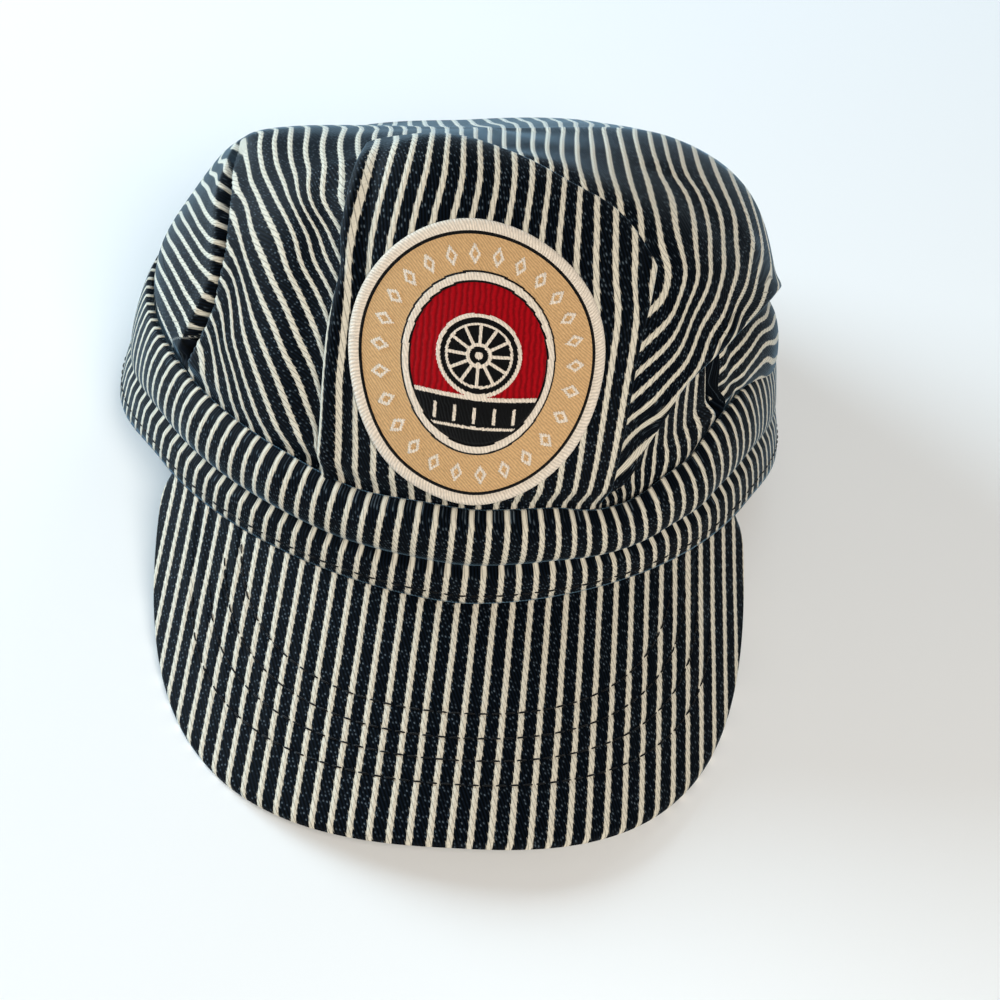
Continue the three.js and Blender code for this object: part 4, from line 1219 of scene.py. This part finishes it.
class CapColours(bpy.types.PropertyGroup):
    indigo: bpy.props.FloatVectorProperty(
        name="Indigo", description="Raised ribs of the dark twill", subtype="COLOR", size=3,
        min=0, max=1, default=linear("#0a111a"))
    # Painted shade: the twill's hollows take this darker indigo, for the shade between its ribs.
    indigo_painted_hollow_shade: bpy.props.FloatVectorProperty(
        name="Deep indigo", description="Hollows of the dark twill", subtype="COLOR", size=3,
        min=0, max=1, default=linear("#020303"))
    fleck: bpy.props.FloatVectorProperty(
        name="Fleck", description="Pale weft that shows in the dark twill", subtype="COLOR", size=3,
        min=0, max=1, default=linear("#8fa2b0"))
    cream: bpy.props.FloatVectorProperty(
        name="Cream", description="Cream ends of the stripes", subtype="COLOR", size=3,
        min=0, max=1, default=linear("#dad2c0"))
    stitching: bpy.props.FloatVectorProperty(
        name="Stitching", description="Black topstitching thread", subtype="COLOR", size=3,
        min=0, max=1, default=linear("#0a0a0b"))
    patch_twill: bpy.props.FloatVectorProperty(
        name="Patch twill", description="Tan ground of the patch", subtype="COLOR", size=3,
        min=0, max=1, default=linear("#d0a878"))
    patch_cream: bpy.props.FloatVectorProperty(
        name="Patch cream", description="Border and outlines of the patch", subtype="COLOR", size=3,
        min=0, max=1, default=linear("#eadccb"))
    patch_red: bpy.props.FloatVectorProperty(
        name="Patch red", description="Satin field of the patch", subtype="COLOR", size=3,
        min=0, max=1, default=linear("#a00612"))
    floor: bpy.props.FloatVectorProperty(
        name="Floor", description="Plain pale floor", subtype="COLOR", size=3,
        min=0, max=1, default=linear("#f2f2f2"))


def denim():
    """The cap's one denim, made when it is first asked for."""
    scene = bpy.context.scene
    found = bpy.data.materials.get("striped_denim_twill")
    return found or striped_denim(scene.cap_colours, scene.cap_sizes)


def black_thread():
    """Thin black topstitching thread, made when it is first asked for."""
    found = bpy.data.materials.get("topstitch_thread")
    return found or thread("topstitch_thread", bpy.context.scene.cap_colours.stitching, 2.5, 0.5)


def denim_piece(name, node, outer, outer_uv, inner, inner_uv, closed, pole=False):
    """Makes a closed shell of the cap's denim in place of its solid."""
    points, faces, uvs = shell(outer, outer_uv, inner, inner_uv, closed, pole)
    return dress(mesh_piece(name, points, faces, uvs, [denim()]), [node])


def stitch_run(name, centre, normal):
    """A row of topstitches along a line of points, each a short thread whose ends dip into the cloth."""
    sizes = bpy.context.scene.cap_sizes
    length, gap = sizes.stitch_length * MM, sizes.stitch_gap * MM
    radius = sizes.thread_thickness * MM / 2
    walked = lengths_along(centre)
    count = int(walked[-1] // (length + gap))
    stations, lifts, thickness = np.array(STITCH_SHAPE).T
    at = (np.arange(count) * walked[-1] / count)[:, None] + stations * length
    line = places_along(at, walked, centre)
    up = unit(places_along(at, walked, normal))
    along = unit(line[:, -1:] - line[:, :1])
    side = unit(np.cross(np.broadcast_to(along, up.shape), up))
    line = line + up * (lifts * radius)[:, None]
    turn = np.arange(STITCH_SIDES)[:, None] * 2 * math.pi / STITCH_SIDES
    thick = (thickness * radius)[:, None, None]
    ring = line[:, :, None] + thick * (side[:, :, None] * np.cos(turn) + up[:, :, None] * np.sin(turn))

    first = np.arange(count)[:, None, None] * len(stations) * STITCH_SIDES
    start = first + np.arange(len(stations) - 1)[:, None] * STITCH_SIDES
    place = np.arange(STITCH_SIDES)
    after = (place + 1) % STITCH_SIDES
    corners = [start + place, start + after, start + STITCH_SIDES + after, start + STITCH_SIDES + place]
    faces = [np.stack(corners, -1).reshape(-1, 4)]
    for end, order in STITCH_ENDS:
        faces.append(first[:, 0] + end * (len(stations) - 1) * STITCH_SIDES + np.array(order))
    uvs = [np.broadcast_to(STITCH_UV, (len(f), 4, 2)) for f in faces]
    dress(mesh_piece(name, ring.reshape(-1, 3), faces, uvs, [black_thread()]), ())


def band_point(angle, height, puff_out, inner):
    """Places on the outer or inner side of the band at a share of its height."""
    side = np.abs(turned(angle))
    puff = puff_out * (1 - PUFF_FADE * smooth(*PUFF_FADE_TURN, side))
    flare = BAND_SIDE_FLARE * (1 - height) * smooth(BILL_END, BILL_END + BAND_FLARE_TURN, side)
    stand = flare + (-BAND_WALL if inner else puff)
    inset = (BAND_TOP_INSET + band_pull(angle, 2)) * height - stand
    x, y = head_outline(angle, inset)
    low = band_lower(angle, np.where(height <= 0, inset, 0))
    return np.stack([x, y, low + (band_upper(angle) - low) * height], -1)


def band_length(angle):
    """Length round the band's lower edge from the front, in millimetres."""
    turn = np.linspace(-180, 180, BAND_LENGTH_STEPS)
    walked = lengths_along(np.stack(head_outline(turn), -1))
    return np.interp(angle, turn, walked - np.interp(0, turn, walked))


class CAP_OT_band(bpy.types.Operator):
    """Makes the puffed band that goes round the head"""

    bl_idname = "cap.band"
    bl_label = "Band"

    def execute(self, context):
        angles = np.linspace(-180, 180, BAND_COLUMNS)
        angle, height = np.meshgrid(angles, spaced(*BAND_ROWS))
        lumps = sum(out * np.sin(np.radians(angle) * waves + height * waves_up + start)
                    for out, waves, waves_up, start in BAND_LUMPS)
        puff = along_table(BAND_PROFILE, height) + lumps * only_between(height, *LUMP_REACH)
        uv = np.stack([band_length(angle), -height * BAND_HEIGHT - puff], -1)
        inner_angle, inner_height = np.meshgrid(angles, spaced(*BAND_INNER_ROWS))
        inner_uv = np.stack([band_length(inner_angle), -inner_height * BAND_HEIGHT], -1)
        piece = denim_piece("puffed_band", "band", band_point(angle, height, puff, False), uv,
                            band_point(inner_angle, inner_height, 0, True), inner_uv, True)

        height = BAND_STITCH_HEIGHT + 0 * angles
        line = band_point(angles, height, along_table(BAND_PROFILE, height), False)
        x, y = head_outline(angles)
        stitch_run("band_topstitch", line, unit(np.stack([x, y, 0 * x], -1)))
        return {"FINISHED"}


def bill_surface(across, forward):
    """A place of the bill's upper surface: across from side to side, forward from the band to the rim."""
    _, end_y = head_outline(BILL_END)
    reach = end_y + HEAD_HALF_LENGTH + BILL_LENGTH * math.cos(BILL_SLOPE)
    power = 2 / BILL_OUTLINE_ROUNDNESS
    inner_x, inner_y = head_outline(across * BILL_END, BILL_UNDER_BAND)
    turn = across * math.pi / 2
    swell = BILL_SIDE_SWELL * np.sin(turn) * np.cos(turn)
    outer_x = BILL_HALF_WIDTH * signed_power(np.sin(turn), power) + swell
    outer_y = end_y - reach * signed_power(np.cos(turn), power)
    x = inner_x + (outer_x - inner_x) * forward
    y = inner_y + (outer_y - inner_y) * forward
    return np.stack([x, y, bill_height(x, y)], -1)


def bill_up(x):
    """Direction straight out of the bill's upper surface."""
    lean = x / BILL_ARCH_RADIUS
    flat = np.sqrt(1 - lean**2)
    return np.stack([lean, -flat * math.sin(BILL_SLOPE), flat * math.cos(BILL_SLOPE)], -1)


def bill_cloth(points):
    """Stripes of the bill: they fan out slightly towards its left side."""
    x, y = points[..., 0], points[..., 1]
    around = BILL_ARCH_RADIUS * np.arcsin(np.clip(x / BILL_ARCH_RADIUS, -1, 1))
    forward = -HEAD_HALF_LENGTH - y
    fanned = around + forward * (BILL_FAN - BILL_FAN_CHANGE * around) - BILL_STRIPE_SHIFT
    return np.stack([fanned, forward / math.cos(BILL_SLOPE)], -1)


def row_distance(x, y, row):
    """Distance in millimetres from a stitch row of the bill, roughly."""
    half, reach, start = row
    power = BILL_ROW_ROUNDNESS
    share = (np.abs(x / half) ** power + (np.maximum(start - y, 0) / reach) ** power) ** (1 / power)
    return (share - 1) * min(half, reach)


class CAP_OT_bill(bpy.types.Operator):
    """Makes the arched bill with its four rows of topstitching"""

    bl_idname = "cap.bill"
    bl_label = "Bill"

    def execute(self, context):
        across, forward = np.meshgrid(spaced(BILL_COLUMNS), spaced(*BILL_ROWS_OF_MESH))
        flat = bill_surface(across, forward)
        x, y = flat[..., 0], flat[..., 1]
        up = bill_up(x)
        rims = [(place - start) / (end - start) for place, (start, end) in
                ((forward, BILL_RIM_FRONT), (np.abs(across), BILL_RIM_SIDE))]
        rim = np.clip(np.maximum(*rims), 0, 1)
        rounded = (BILL_THICKNESS / 2) * (1 - np.sqrt(1 - rim**2))
        distances = [row_distance(x, y, row) for row in BILL_ROWS]
        groove = BILL_GROOVE * sum(hump(distance, BILL_GROOVE_WIDTH) for distance in distances)
        beside = sum(hump(distance, BILL_PUCKER_WIDTH) for distance in distances)
        pucker = BILL_PUCKER * np.sin(x * BILL_PUCKER_WAVES) * beside
        outer = flat - up * (GAP + rounded + groove + pucker)[..., None]
        inner = flat - up * (GAP + BILL_THICKNESS - rounded)[..., None]
        uv = bill_cloth(flat)
        denim_piece("arched_bill", "bill", outer, uv, inner, uv, False)

        turn = np.radians(np.linspace(-BILL_ROW_END, BILL_ROW_END, BILL_ROW_STEPS))
        power = 2 / BILL_ROW_ROUNDNESS
        for number, (half, reach, start) in enumerate(BILL_ROWS):
            x = half * signed_power(np.sin(turn), power)
            y = start - reach * np.cos(turn) ** power
            normal = bill_up(x)
            line = np.stack([x, y, bill_height(x, y)], -1) - normal * (GAP + BILL_STITCH_SINK)
            stitch_run(f"bill_topstitch_{number + 1}", line, normal)
        return {"FINISHED"}


class CAP_OT_crown_body(bpy.types.Operator):
    """Makes the top, sides and back of the crown with their folds"""

    bl_idname = "cap.crown_body"
    bl_label = "Crown body"

    def execute(self, context):
        # Columns stand close together at the pocket's two walls.
        wall_end = POCKET_END + POCKET_WALL
        near_pocket = [POCKET_START - POCKET_WALL, POCKET_START, POCKET_START + WALL_STEP,
                       POCKET_START + POCKET_WALL, POCKET_END - POCKET_WALL, wall_end, wall_end + WALL_STEP]
        fine = np.arange(*FINE_COLUMNS)
        fine = fine[np.abs(fine[:, None] - np.array(near_pocket)).min(1) > COLUMN_GAP]
        fine = np.sort(np.concatenate([fine, near_pocket]))
        angles = np.concatenate([fine, np.arange(*COARSE_COLUMNS), [LAST_COLUMN]])
        surface, angle, rise, column, level, front = crown_grid(angles)
        top = np.broadcast_to([0, 0, CROWN_CENTRE_HEIGHT], (1, len(angles), 3))
        outer = np.concatenate([skirt(angles[None], 0.0), surface, top])

        place = crown_form(angle, rise)
        more = back_rows()
        main = cloth_field(MAIN_STRIPES, more)
        flap = cloth_field(FLAP_STRIPES, more)(place)
        behind = [row for row in more if PLEAT_BACK[0] < row[0] < PLEAT_BACK[1]]
        pleat = cloth_field(PLEAT_STRIPES, behind)(place)
        gather = cloth_field(GATHER_STRIPES)(place)
        side = turned(angle)
        # The flap's stripes end at the valley's edge; where the valley runs out they flow into the others.
        soft = FLAP_CRISP_WIDTH + FLAP_FLOW_WIDTH * smooth(*FLAP_FLOW_TURN, side)
        flapped = smooth(-soft, soft, front) * (side < FLAP_SIDE) * smooth(*FLAP_END_TURN, side)
        cloth = main(place)
        cloth = cloth + (flap - cloth) * flapped[..., None]
        # Below the right fold: the gathers, the pocket set to the dark ground between two stripes as painted
        # shade, and the pleat.
        below = (level == 0) & (column > FOLD_SIDES[0]) & (column < FOLD_SIDES[1])
        pocket = (column > POCKET_START + WALL_STEP / 2) & (column < wall_end + WALL_STEP / 2)
        cloth = np.where((below & (column <= POCKET_START))[..., None], gather, cloth)
        cloth = np.where((below & (column >= POCKET_END))[..., None], pleat, cloth)
        # Painted shade: the pocket's cloth shows the dark ground between two stripes, for the shade inside
        # it.
        cloth[..., 0] = np.where(below & pocket, POCKET_PAINTED_SHADE_STRIPE, cloth[..., 0])
        # Painted shade: where the valley lies in shade, the cloth shows its dark ground in place of its
        # stripes.
        shade = VALLEY_PAINTED_SHADE_WIDTH + VALLEY_PAINTED_SHADE_WIDENING * smooth(*VALLEY_PAINTED_SHADE_RISES, rise)
        painted_shade_mask = (front > 0) & (front < shade) & (side < FLAP_SIDE) & (rise < VALLEY_PAINTED_SHADE_TOP)
        cloth[..., 0] = np.where(painted_shade_mask, VALLEY_PAINTED_SHADE_STRIPE, cloth[..., 0])
        pitch = context.scene.cap_sizes.stripe_pitch * MM
        cloth[..., 0] *= pitch
        top_uv = np.broadcast_to(main(top[:, :1]) * (pitch, 1), (1, len(angles), 2))
        outer_uv = np.concatenate([cloth[:1] + HEM_CLOTH, cloth, top_uv])

        low = np.broadcast_to([0, 0, CROWN_CENTRE_HEIGHT - CLOTH - LINING_GAP], (1, len(angles), 3))
        inner = np.concatenate([skirt(angles[None], -CLOTH), crown_lining(angles, LINING_RISES), low])
        # A closed grid's last column repeats the first.
        layers = [np.concatenate([rows, rows[:, :1]], 1) for rows in (outer, outer_uv, inner, inner[..., :2])]
        piece = denim_piece("crown_cloth", "crown_body", *layers, True, pole=True)
        return {"FINISHED"}


def panel_place(across, up):
    """Where a place of the front panel lies, as x and rise."""
    rise = up * PANEL_MEAN_TOP
    for _ in range(PANEL_ROUNDS):
        left, right = along_table(PANEL_SIDES, rise, 1), along_table(PANEL_SIDES, rise, 2)
        x = left + (right - left) * (across + 1) / 2
        rise = up * along_table(PANEL_TOP, x)
    return x, rise


def angle_at(x, rise):
    """Angle round the crown, in front of the middle, where the smooth form has this x at this rise."""
    low, high = np.full(x.shape, -SEARCH_TURN), np.full(x.shape, SEARCH_TURN)
    for _ in range(SEARCH_ROUNDS):
        middle = (low + high) / 2
        less = crown_form(middle, rise)[..., 0] < x
        low, high = np.where(less, middle, low), np.where(less, high, middle)
    return (low + high) / 2


class CAP_OT_crown_front(bpy.types.Operator):
    """Makes the front panel that leans back over the brow, with the tuck along its left edge"""

    bl_idname = "cap.crown_front"
    bl_label = "Crown front"

    def execute(self, context):
        across, up = np.meshgrid(spaced(*PANEL_COLUMNS), np.linspace(0, 1, PANEL_ROWS))
        x, rise = panel_place(across, up)
        angle = angle_at(x, rise)
        place = crown_form(angle, rise)
        half_width = (along_table(PANEL_SIDES, rise, 2) - along_table(PANEL_SIDES, rise, 1)) / 2
        from_left, from_right = (across + 1) * half_width, (1 - across) * half_width
        edge = np.minimum(np.minimum(from_left, from_right), (1 - up) * PANEL_HEIGHT)
        rounded = PANEL_EDGE_DROP * (1 - np.sqrt(1 - (1 - np.clip(edge / PANEL_EDGE_WIDTH, 0, 1)) ** 2))
        ridge, groove, crease = (
            height * hump(distance - where, width) for distance, (height, where, width) in
            ((from_left, TUCK_RIDGE), (from_left, TUCK_GROOVE), (from_right, SEAM_CREASE)))
        tucked = (ridge - groove) * smooth(*TUCK_TOP, up)
        creased = crease * smooth(*CREASE_RISES, up)
        swell = np.sin(up * SWELL_WAVES_UP + across * SWELL_WAVES_ACROSS) * only_between(up, *SWELL_REACH)
        out = PANEL_LIFT + CLOTH + tucked - creased + PANEL_SWELL * swell - rounded
        below = np.minimum(PANEL_LIFT + rounded, out - PANEL_LEAST)
        sink = rim_tuck(0 * angle, rise)
        outer = np.concatenate([skirt(angle[:1], CLOTH + PANEL_LIFT), off_crown(angle, rise, out - sink)])
        inner = np.concatenate([skirt(angle[:1], PANEL_LIFT), off_crown(angle, rise, below - sink)])
        cloth = cloth_field(PANEL_STRIPES)(place)
        cloth[..., 0] *= context.scene.cap_sizes.stripe_pitch * MM
        cloth[..., 1] = -rise * WALL_PER_RISE
        uv = np.concatenate([cloth[:1] + HEM_CLOTH, cloth])
        piece = denim_piece("front_panel", "crown_front", outer, uv, inner, uv, False)
        return {"FINISHED"}


def rise_at(length):
    """Share of rise at a length of cloth up the middle of the front, from the band."""
    rises = np.linspace(0, 1, RISE_STEPS)
    return np.interp(length, lengths_along(crown_form(0 * rises, rises)), rises)


def on_panel(x, up, out):
    """Places of the patch: x and up from its middle, and so far out from the front panel."""
    rise = rise_at(PATCH_UP + up)
    return off_crown(angle_at(PATCH_X + x, rise), rise, PANEL_LIFT + CLOTH + GAP + out)


def in_patch(turn, share):
    """x and y of a place of the patch, from its turn and its share of the way from the middle to the edge."""
    return PATCH_HALF_WIDTH * share * np.cos(turn), PATCH_HALF_HEIGHT * share * np.sin(turn)


def patch_design(x, y):
    """Which thread covers each place of the patch and how thick it lies: a spoked wheel on a rail."""
    share = np.hypot(x / PATCH_HALF_WIDTH, y / PATCH_HALF_HEIGHT)
    inward = (1 - share) * (PATCH_HALF_WIDTH + PATCH_HALF_HEIGHT) / 2
    turn = np.arctan2(y / PATCH_HALF_HEIGHT, x / PATCH_HALF_WIDTH)
    kind = np.zeros(x.shape, int)
    high = np.full(x.shape, TWILL_HEIGHT)

    def lay(mask, thread_kind, lift):
        kind[mask] = thread_kind
        high[mask] = lift

    # Small lozenges round the tan ring, and the border.
    step = (turn / (2 * math.pi) * LOZENGES + 0.5) % 1 - 0.5
    across = step * 2 * math.pi * LOZENGE_RADIUS / LOZENGES
    lozenge = np.abs(across) / LOZENGE_HALF_WIDTH + np.abs(inward - LOZENGE_INWARD) / LOZENGE_HALF_HEIGHT
    lay((lozenge < 1) & (lozenge > LOZENGE_INSIDE), CREAM, LOZENGE_HEIGHT)
    for width, thread_kind, lift in PATCH_BORDER:
        lay(inward < width, thread_kind, lift)

    # The inner field with its ring.
    from_ring = (1 - np.hypot(x / OVAL_HALF_WIDTH, (y - OVAL_UP) / OVAL_HALF_HEIGHT)) * OVAL_MEAN_HALF
    for start, thread_kind, lift in OVAL_RINGS:
        lay(from_ring > start, thread_kind, lift)
    inside = from_ring > OVAL_RINGS[-1][0]

    # Rail, sleepers and ballast across the lower part.
    lay(inside & (y < GROUND_TOP), BLACK, GROUND_HEIGHT)
    for middle, half, lift in RAILS:
        lay(inside & (np.abs(y - middle) < half), CREAM, lift)
    sleeper = np.abs((x / SLEEPER_SPACING + 0.5) % 1 - 0.5) * SLEEPER_SPACING
    lay(inside & (y < SLEEPERS[1]) & (y > SLEEPERS[0]) & (sleeper < SLEEPER_HALF), CREAM, SLEEPER_HEIGHT)

    # The wheel: its disc, its spokes and its rings.
    radius = np.hypot(x, y - HUB_UP)
    around = np.arctan2(y - HUB_UP, x)
    spoke = np.abs((around / (2 * math.pi) * SPOKES + 0.5) % 1 - 0.5) * 2 * math.pi / SPOKES
    lay(inside & (radius < WHEEL_RADIUS), BLACK, WHEEL_HEIGHT)
    spoked = (radius < SPOKE_REACH[1]) & (radius > SPOKE_REACH[0]) & (spoke * radius < SPOKE_HALF)
    lay(inside & spoked, CREAM, SPOKE_HEIGHT)
    for middle, half, lift in WHEEL_RINGS:
        lay(inside & (np.abs(radius - middle) < half), CREAM, lift)
    return kind, high, inward, turn


class CAP_OT_patch(bpy.types.Operator):
    """Makes the embroidered oval patch with its thick sewn border"""

    bl_idname = "cap.patch"
    bl_label = "Patch"

    def execute(self, context):
        colours = context.scene.cap_colours
        turns = np.linspace(0, 2 * math.pi, PATCH_COLUMNS)
        shares = np.concatenate([[1.0], np.linspace(*PATCH_ROWS)])
        turn, share = np.meshgrid(turns, shares)
        x, y = in_patch(turn, share)
        _, high, inward, around = patch_design(x, y)
        sewn = inward < PATCH_BORDER[-1][0]
        border = np.sqrt(np.clip(1 - ((inward - BORDER_MIDDLE) / BORDER_HALF) ** 2, 0, 1))
        ribs = 0.5 + 0.5 * np.cos(turn * BORDER_RIBS + inward * BORDER_RIB_SLANT)
        high = np.where(sewn, BORDER_LOW + (BORDER_HIGH + BORDER_RIB_HEIGHT * ribs) * border, high)
        uv = np.stack([np.where(sewn, around * BORDER_UV_RADIUS, x), np.where(sewn, inward, y)], -1)
        inner_turn, inner_share = np.meshgrid(turns, PATCH_INNER_SHARES)
        inner_uv = np.stack([inner_turn, inner_share], -1)

        # Each side ends in one point at the middle.
        centre, centre_uv = np.zeros((1, len(turns))), np.zeros((1, len(turns), 2))
        foot = on_panel(*in_patch(inner_turn, inner_share), 0.0)
        outer = np.concatenate([on_panel(x, y, high), on_panel(centre, centre, 1.0)])
        inner = np.concatenate([foot, on_panel(centre, centre, 0.0)])
        outer[:, -1], inner[:, -1] = outer[:, 0], inner[:, 0]
        points, faces, uvs = shell(outer, np.concatenate([uv, centre_uv]),
                                   inner, np.concatenate([inner_uv, centre_uv]), True, pole=True)

        # Each face of the upper side takes the thread at its middle; the pole and the side are cream.
        middles = np.meshgrid((turns[:-1] + turns[1:]) / 2, (shares[:-1] + shares[1:]) / 2)
        kinds = np.zeros(sum(len(f) for f in faces), int)
        upper = patch_design(*in_patch(*middles))[0].ravel()
        kinds[:len(upper)] = upper
        kinds[len(upper):len(upper) + len(faces[1])] = CREAM
        kinds[-len(faces[-1]):] = CREAM
        materials = [
            thread("patch_twill_cloth", colours.patch_twill, 1.15, 1.0, rough=0.8, depth=0.0002),
            thread("cream_embroidery_thread", colours.patch_cream, 1.3, 0.35, rough=0.55),
            thread("black_embroidery_thread", colours.stitching, 1.3, 0.35, rough=0.5),
            thread("red_satin_thread", colours.patch_red, 0.75, 0.0, rough=0.6, painted_row_shade=0.45, sheen=0.0),
        ]
        piece = mesh_piece("embroidered_patch", points, faces, uvs, materials, kinds)
        dress(piece, ["patch"])
        return {"FINISHED"}


def soft_light(name, place, size, power, colour, gloss=True):
    """A soft round light that looks at the cap."""
    light = bpy.data.lights.new(name, "AREA")
    light.shape = "DISK"
    light.size = size
    light.energy = power
    light.color = colour
    lamp = bpy.data.objects.new(name, light)
    lamp.visible_glossy = gloss
    lamp.location = place
    lamp.rotation_mode = "QUATERNION"
    lamp.rotation_quaternion = (Vector(LIGHT_AIM) - Vector(place)).to_track_quat("-Z", "Y")
    bpy.context.scene.collection.objects.link(lamp)


def pale_paper(colour):
    """Plain matt paper: gives the eye a pale, even ground on which only the soft shadow shows."""
    material, tree = new_material("pale_paper")
    shader = add(tree, "ShaderNodeBsdfPrincipled", {"Base Color": (*colour, 1), "Roughness": 0.9})
    add(tree, "ShaderNodeOutputMaterial", {0: shader})
    return material


# The photograph's camera in the cap's own frame: where it looks, how far from it, and its roll.
CAMERA_AZIMUTH = math.radians(-7.193)
CAMERA_ELEVATION = math.radians(40.367)
CAMERA_ROLL = math.radians(8.864)
CAMERA_TARGET = (18.225, 0, -37.865)
CAMERA_DISTANCE = 531.626
CAMERA_SENSOR = 36

# The floor's half width, the point that the lights look at, in metres, and the room's faint light.
FLOOR_HALF = 3.0
LIGHT_AIM = (0, 0.02, 0.06)
ROOM_COLOUR = (0.95, 0.97, 1.0, 1)
ROOM_LIGHT = 0.12


class CAP_OT_stage(bpy.types.Operator):
    """Makes the floor, the soft lights and the camera"""

    bl_idname = "cap.stage"
    bl_label = "Stage"

    def execute(self, context):
        scene = context.scene
        mesh = bpy.data.meshes.new("floor")
        corners = [(x * FLOOR_HALF, y * FLOOR_HALF, 0) for x, y in ((-1, -1), (1, -1), (1, 1), (-1, 1))]
        mesh.from_pydata(corners, [], [(0, 1, 2, 3)])
        mesh.materials.append(pale_paper(scene.cap_colours.floor))
        floor = bpy.data.objects.new("floor", mesh)
        scene.collection.objects.link(floor)

        world = bpy.data.worlds.new("soft_room")
        world.use_nodes = True
        background = world.node_tree.nodes["Background"]
        background.inputs[0].default_value = ROOM_COLOUR
        background.inputs[1].default_value = ROOM_LIGHT
        scene.world = world
        scene.view_settings.view_transform = "Standard"

        soft_light("cool_window_left", (-1.15, 0.6, 0.5), 0.9, 29, (0.68, 0.87, 1.0))
        soft_light("cool_window_behind", (0.5, 1.1, 0.45), 0.9, 6, (0.74, 0.89, 1.0))
        soft_light("warm_front", (0.25, -1.0, 1.0), 0.8, 16.5, (1.0, 0.95, 0.87), gloss=False)

        azimuth, elevation, roll = CAMERA_AZIMUTH, CAMERA_ELEVATION, CAMERA_ROLL
        back = np.array([math.sin(azimuth) * math.cos(elevation), -math.cos(azimuth) * math.cos(elevation),
                         math.sin(elevation)])
        right = np.array([math.cos(azimuth), math.sin(azimuth), 0])
        up = np.cross(back, right)
        image_x = right * math.cos(roll) + up * math.sin(roll)
        image_y = -right * math.sin(roll) + up * math.cos(roll)
        place = at_rest(np.array(CAMERA_TARGET) + CAMERA_DISTANCE * back)
        start = at_rest(np.zeros(3))
        axes = [(at_rest(axis) - start) * MM for axis in (image_x, image_y, back)]
        camera = bpy.data.objects.new("camera", bpy.data.cameras.new("camera"))
        camera.matrix_world = Matrix.Translation(Vector(place)) @ Matrix(np.array(axes).T.tolist()).to_4x4()
        camera.data.lens = scene.cap_sizes.lens
        camera.data.sensor_width = CAMERA_SENSOR
        scene.collection.objects.link(camera)
        scene.camera = camera
        return {"FINISHED"}


class CAP_PT_pieces(bpy.types.Panel):
    """Lists the cap's pieces and settings"""

    bl_idname = "CAP_PT_pieces"
    bl_label = "Conductor cap"
    bl_space_type = "VIEW_3D"
    bl_region_type = "UI"
    bl_category = "Cap"

    def draw(self, context):
        rows = self.layout.column()
        for group in (context.scene.cap_sizes, context.scene.cap_colours):
            for name in group.__annotations__:
                rows.prop(group, name)
        for operator in OPERATORS:
            rows.operator(operator.bl_idname)


OPERATORS = (CAP_OT_band, CAP_OT_bill, CAP_OT_crown_body, CAP_OT_crown_front, CAP_OT_patch, CAP_OT_stage)
CLASSES = (CapSizes, CapColours, *OPERATORS, CAP_PT_pieces)


def register():
    for cls in CLASSES:
        bpy.utils.register_class(cls)
    bpy.types.Scene.cap_sizes = bpy.props.PointerProperty(type=CapSizes)
    bpy.types.Scene.cap_colours = bpy.props.PointerProperty(type=CapColours)


def unregister():
    del bpy.types.Scene.cap_colours
    del bpy.types.Scene.cap_sizes
    for cls in reversed(CLASSES):
        bpy.utils.unregister_class(cls)


def main():
    register()
    bpy.ops.cap.band()
    bpy.ops.cap.bill()
    bpy.ops.cap.crown_body()
    bpy.ops.cap.crown_front()
    bpy.ops.cap.patch()
    bpy.ops.cap.stage()
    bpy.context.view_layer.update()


if __name__ == "__main__":
    main()
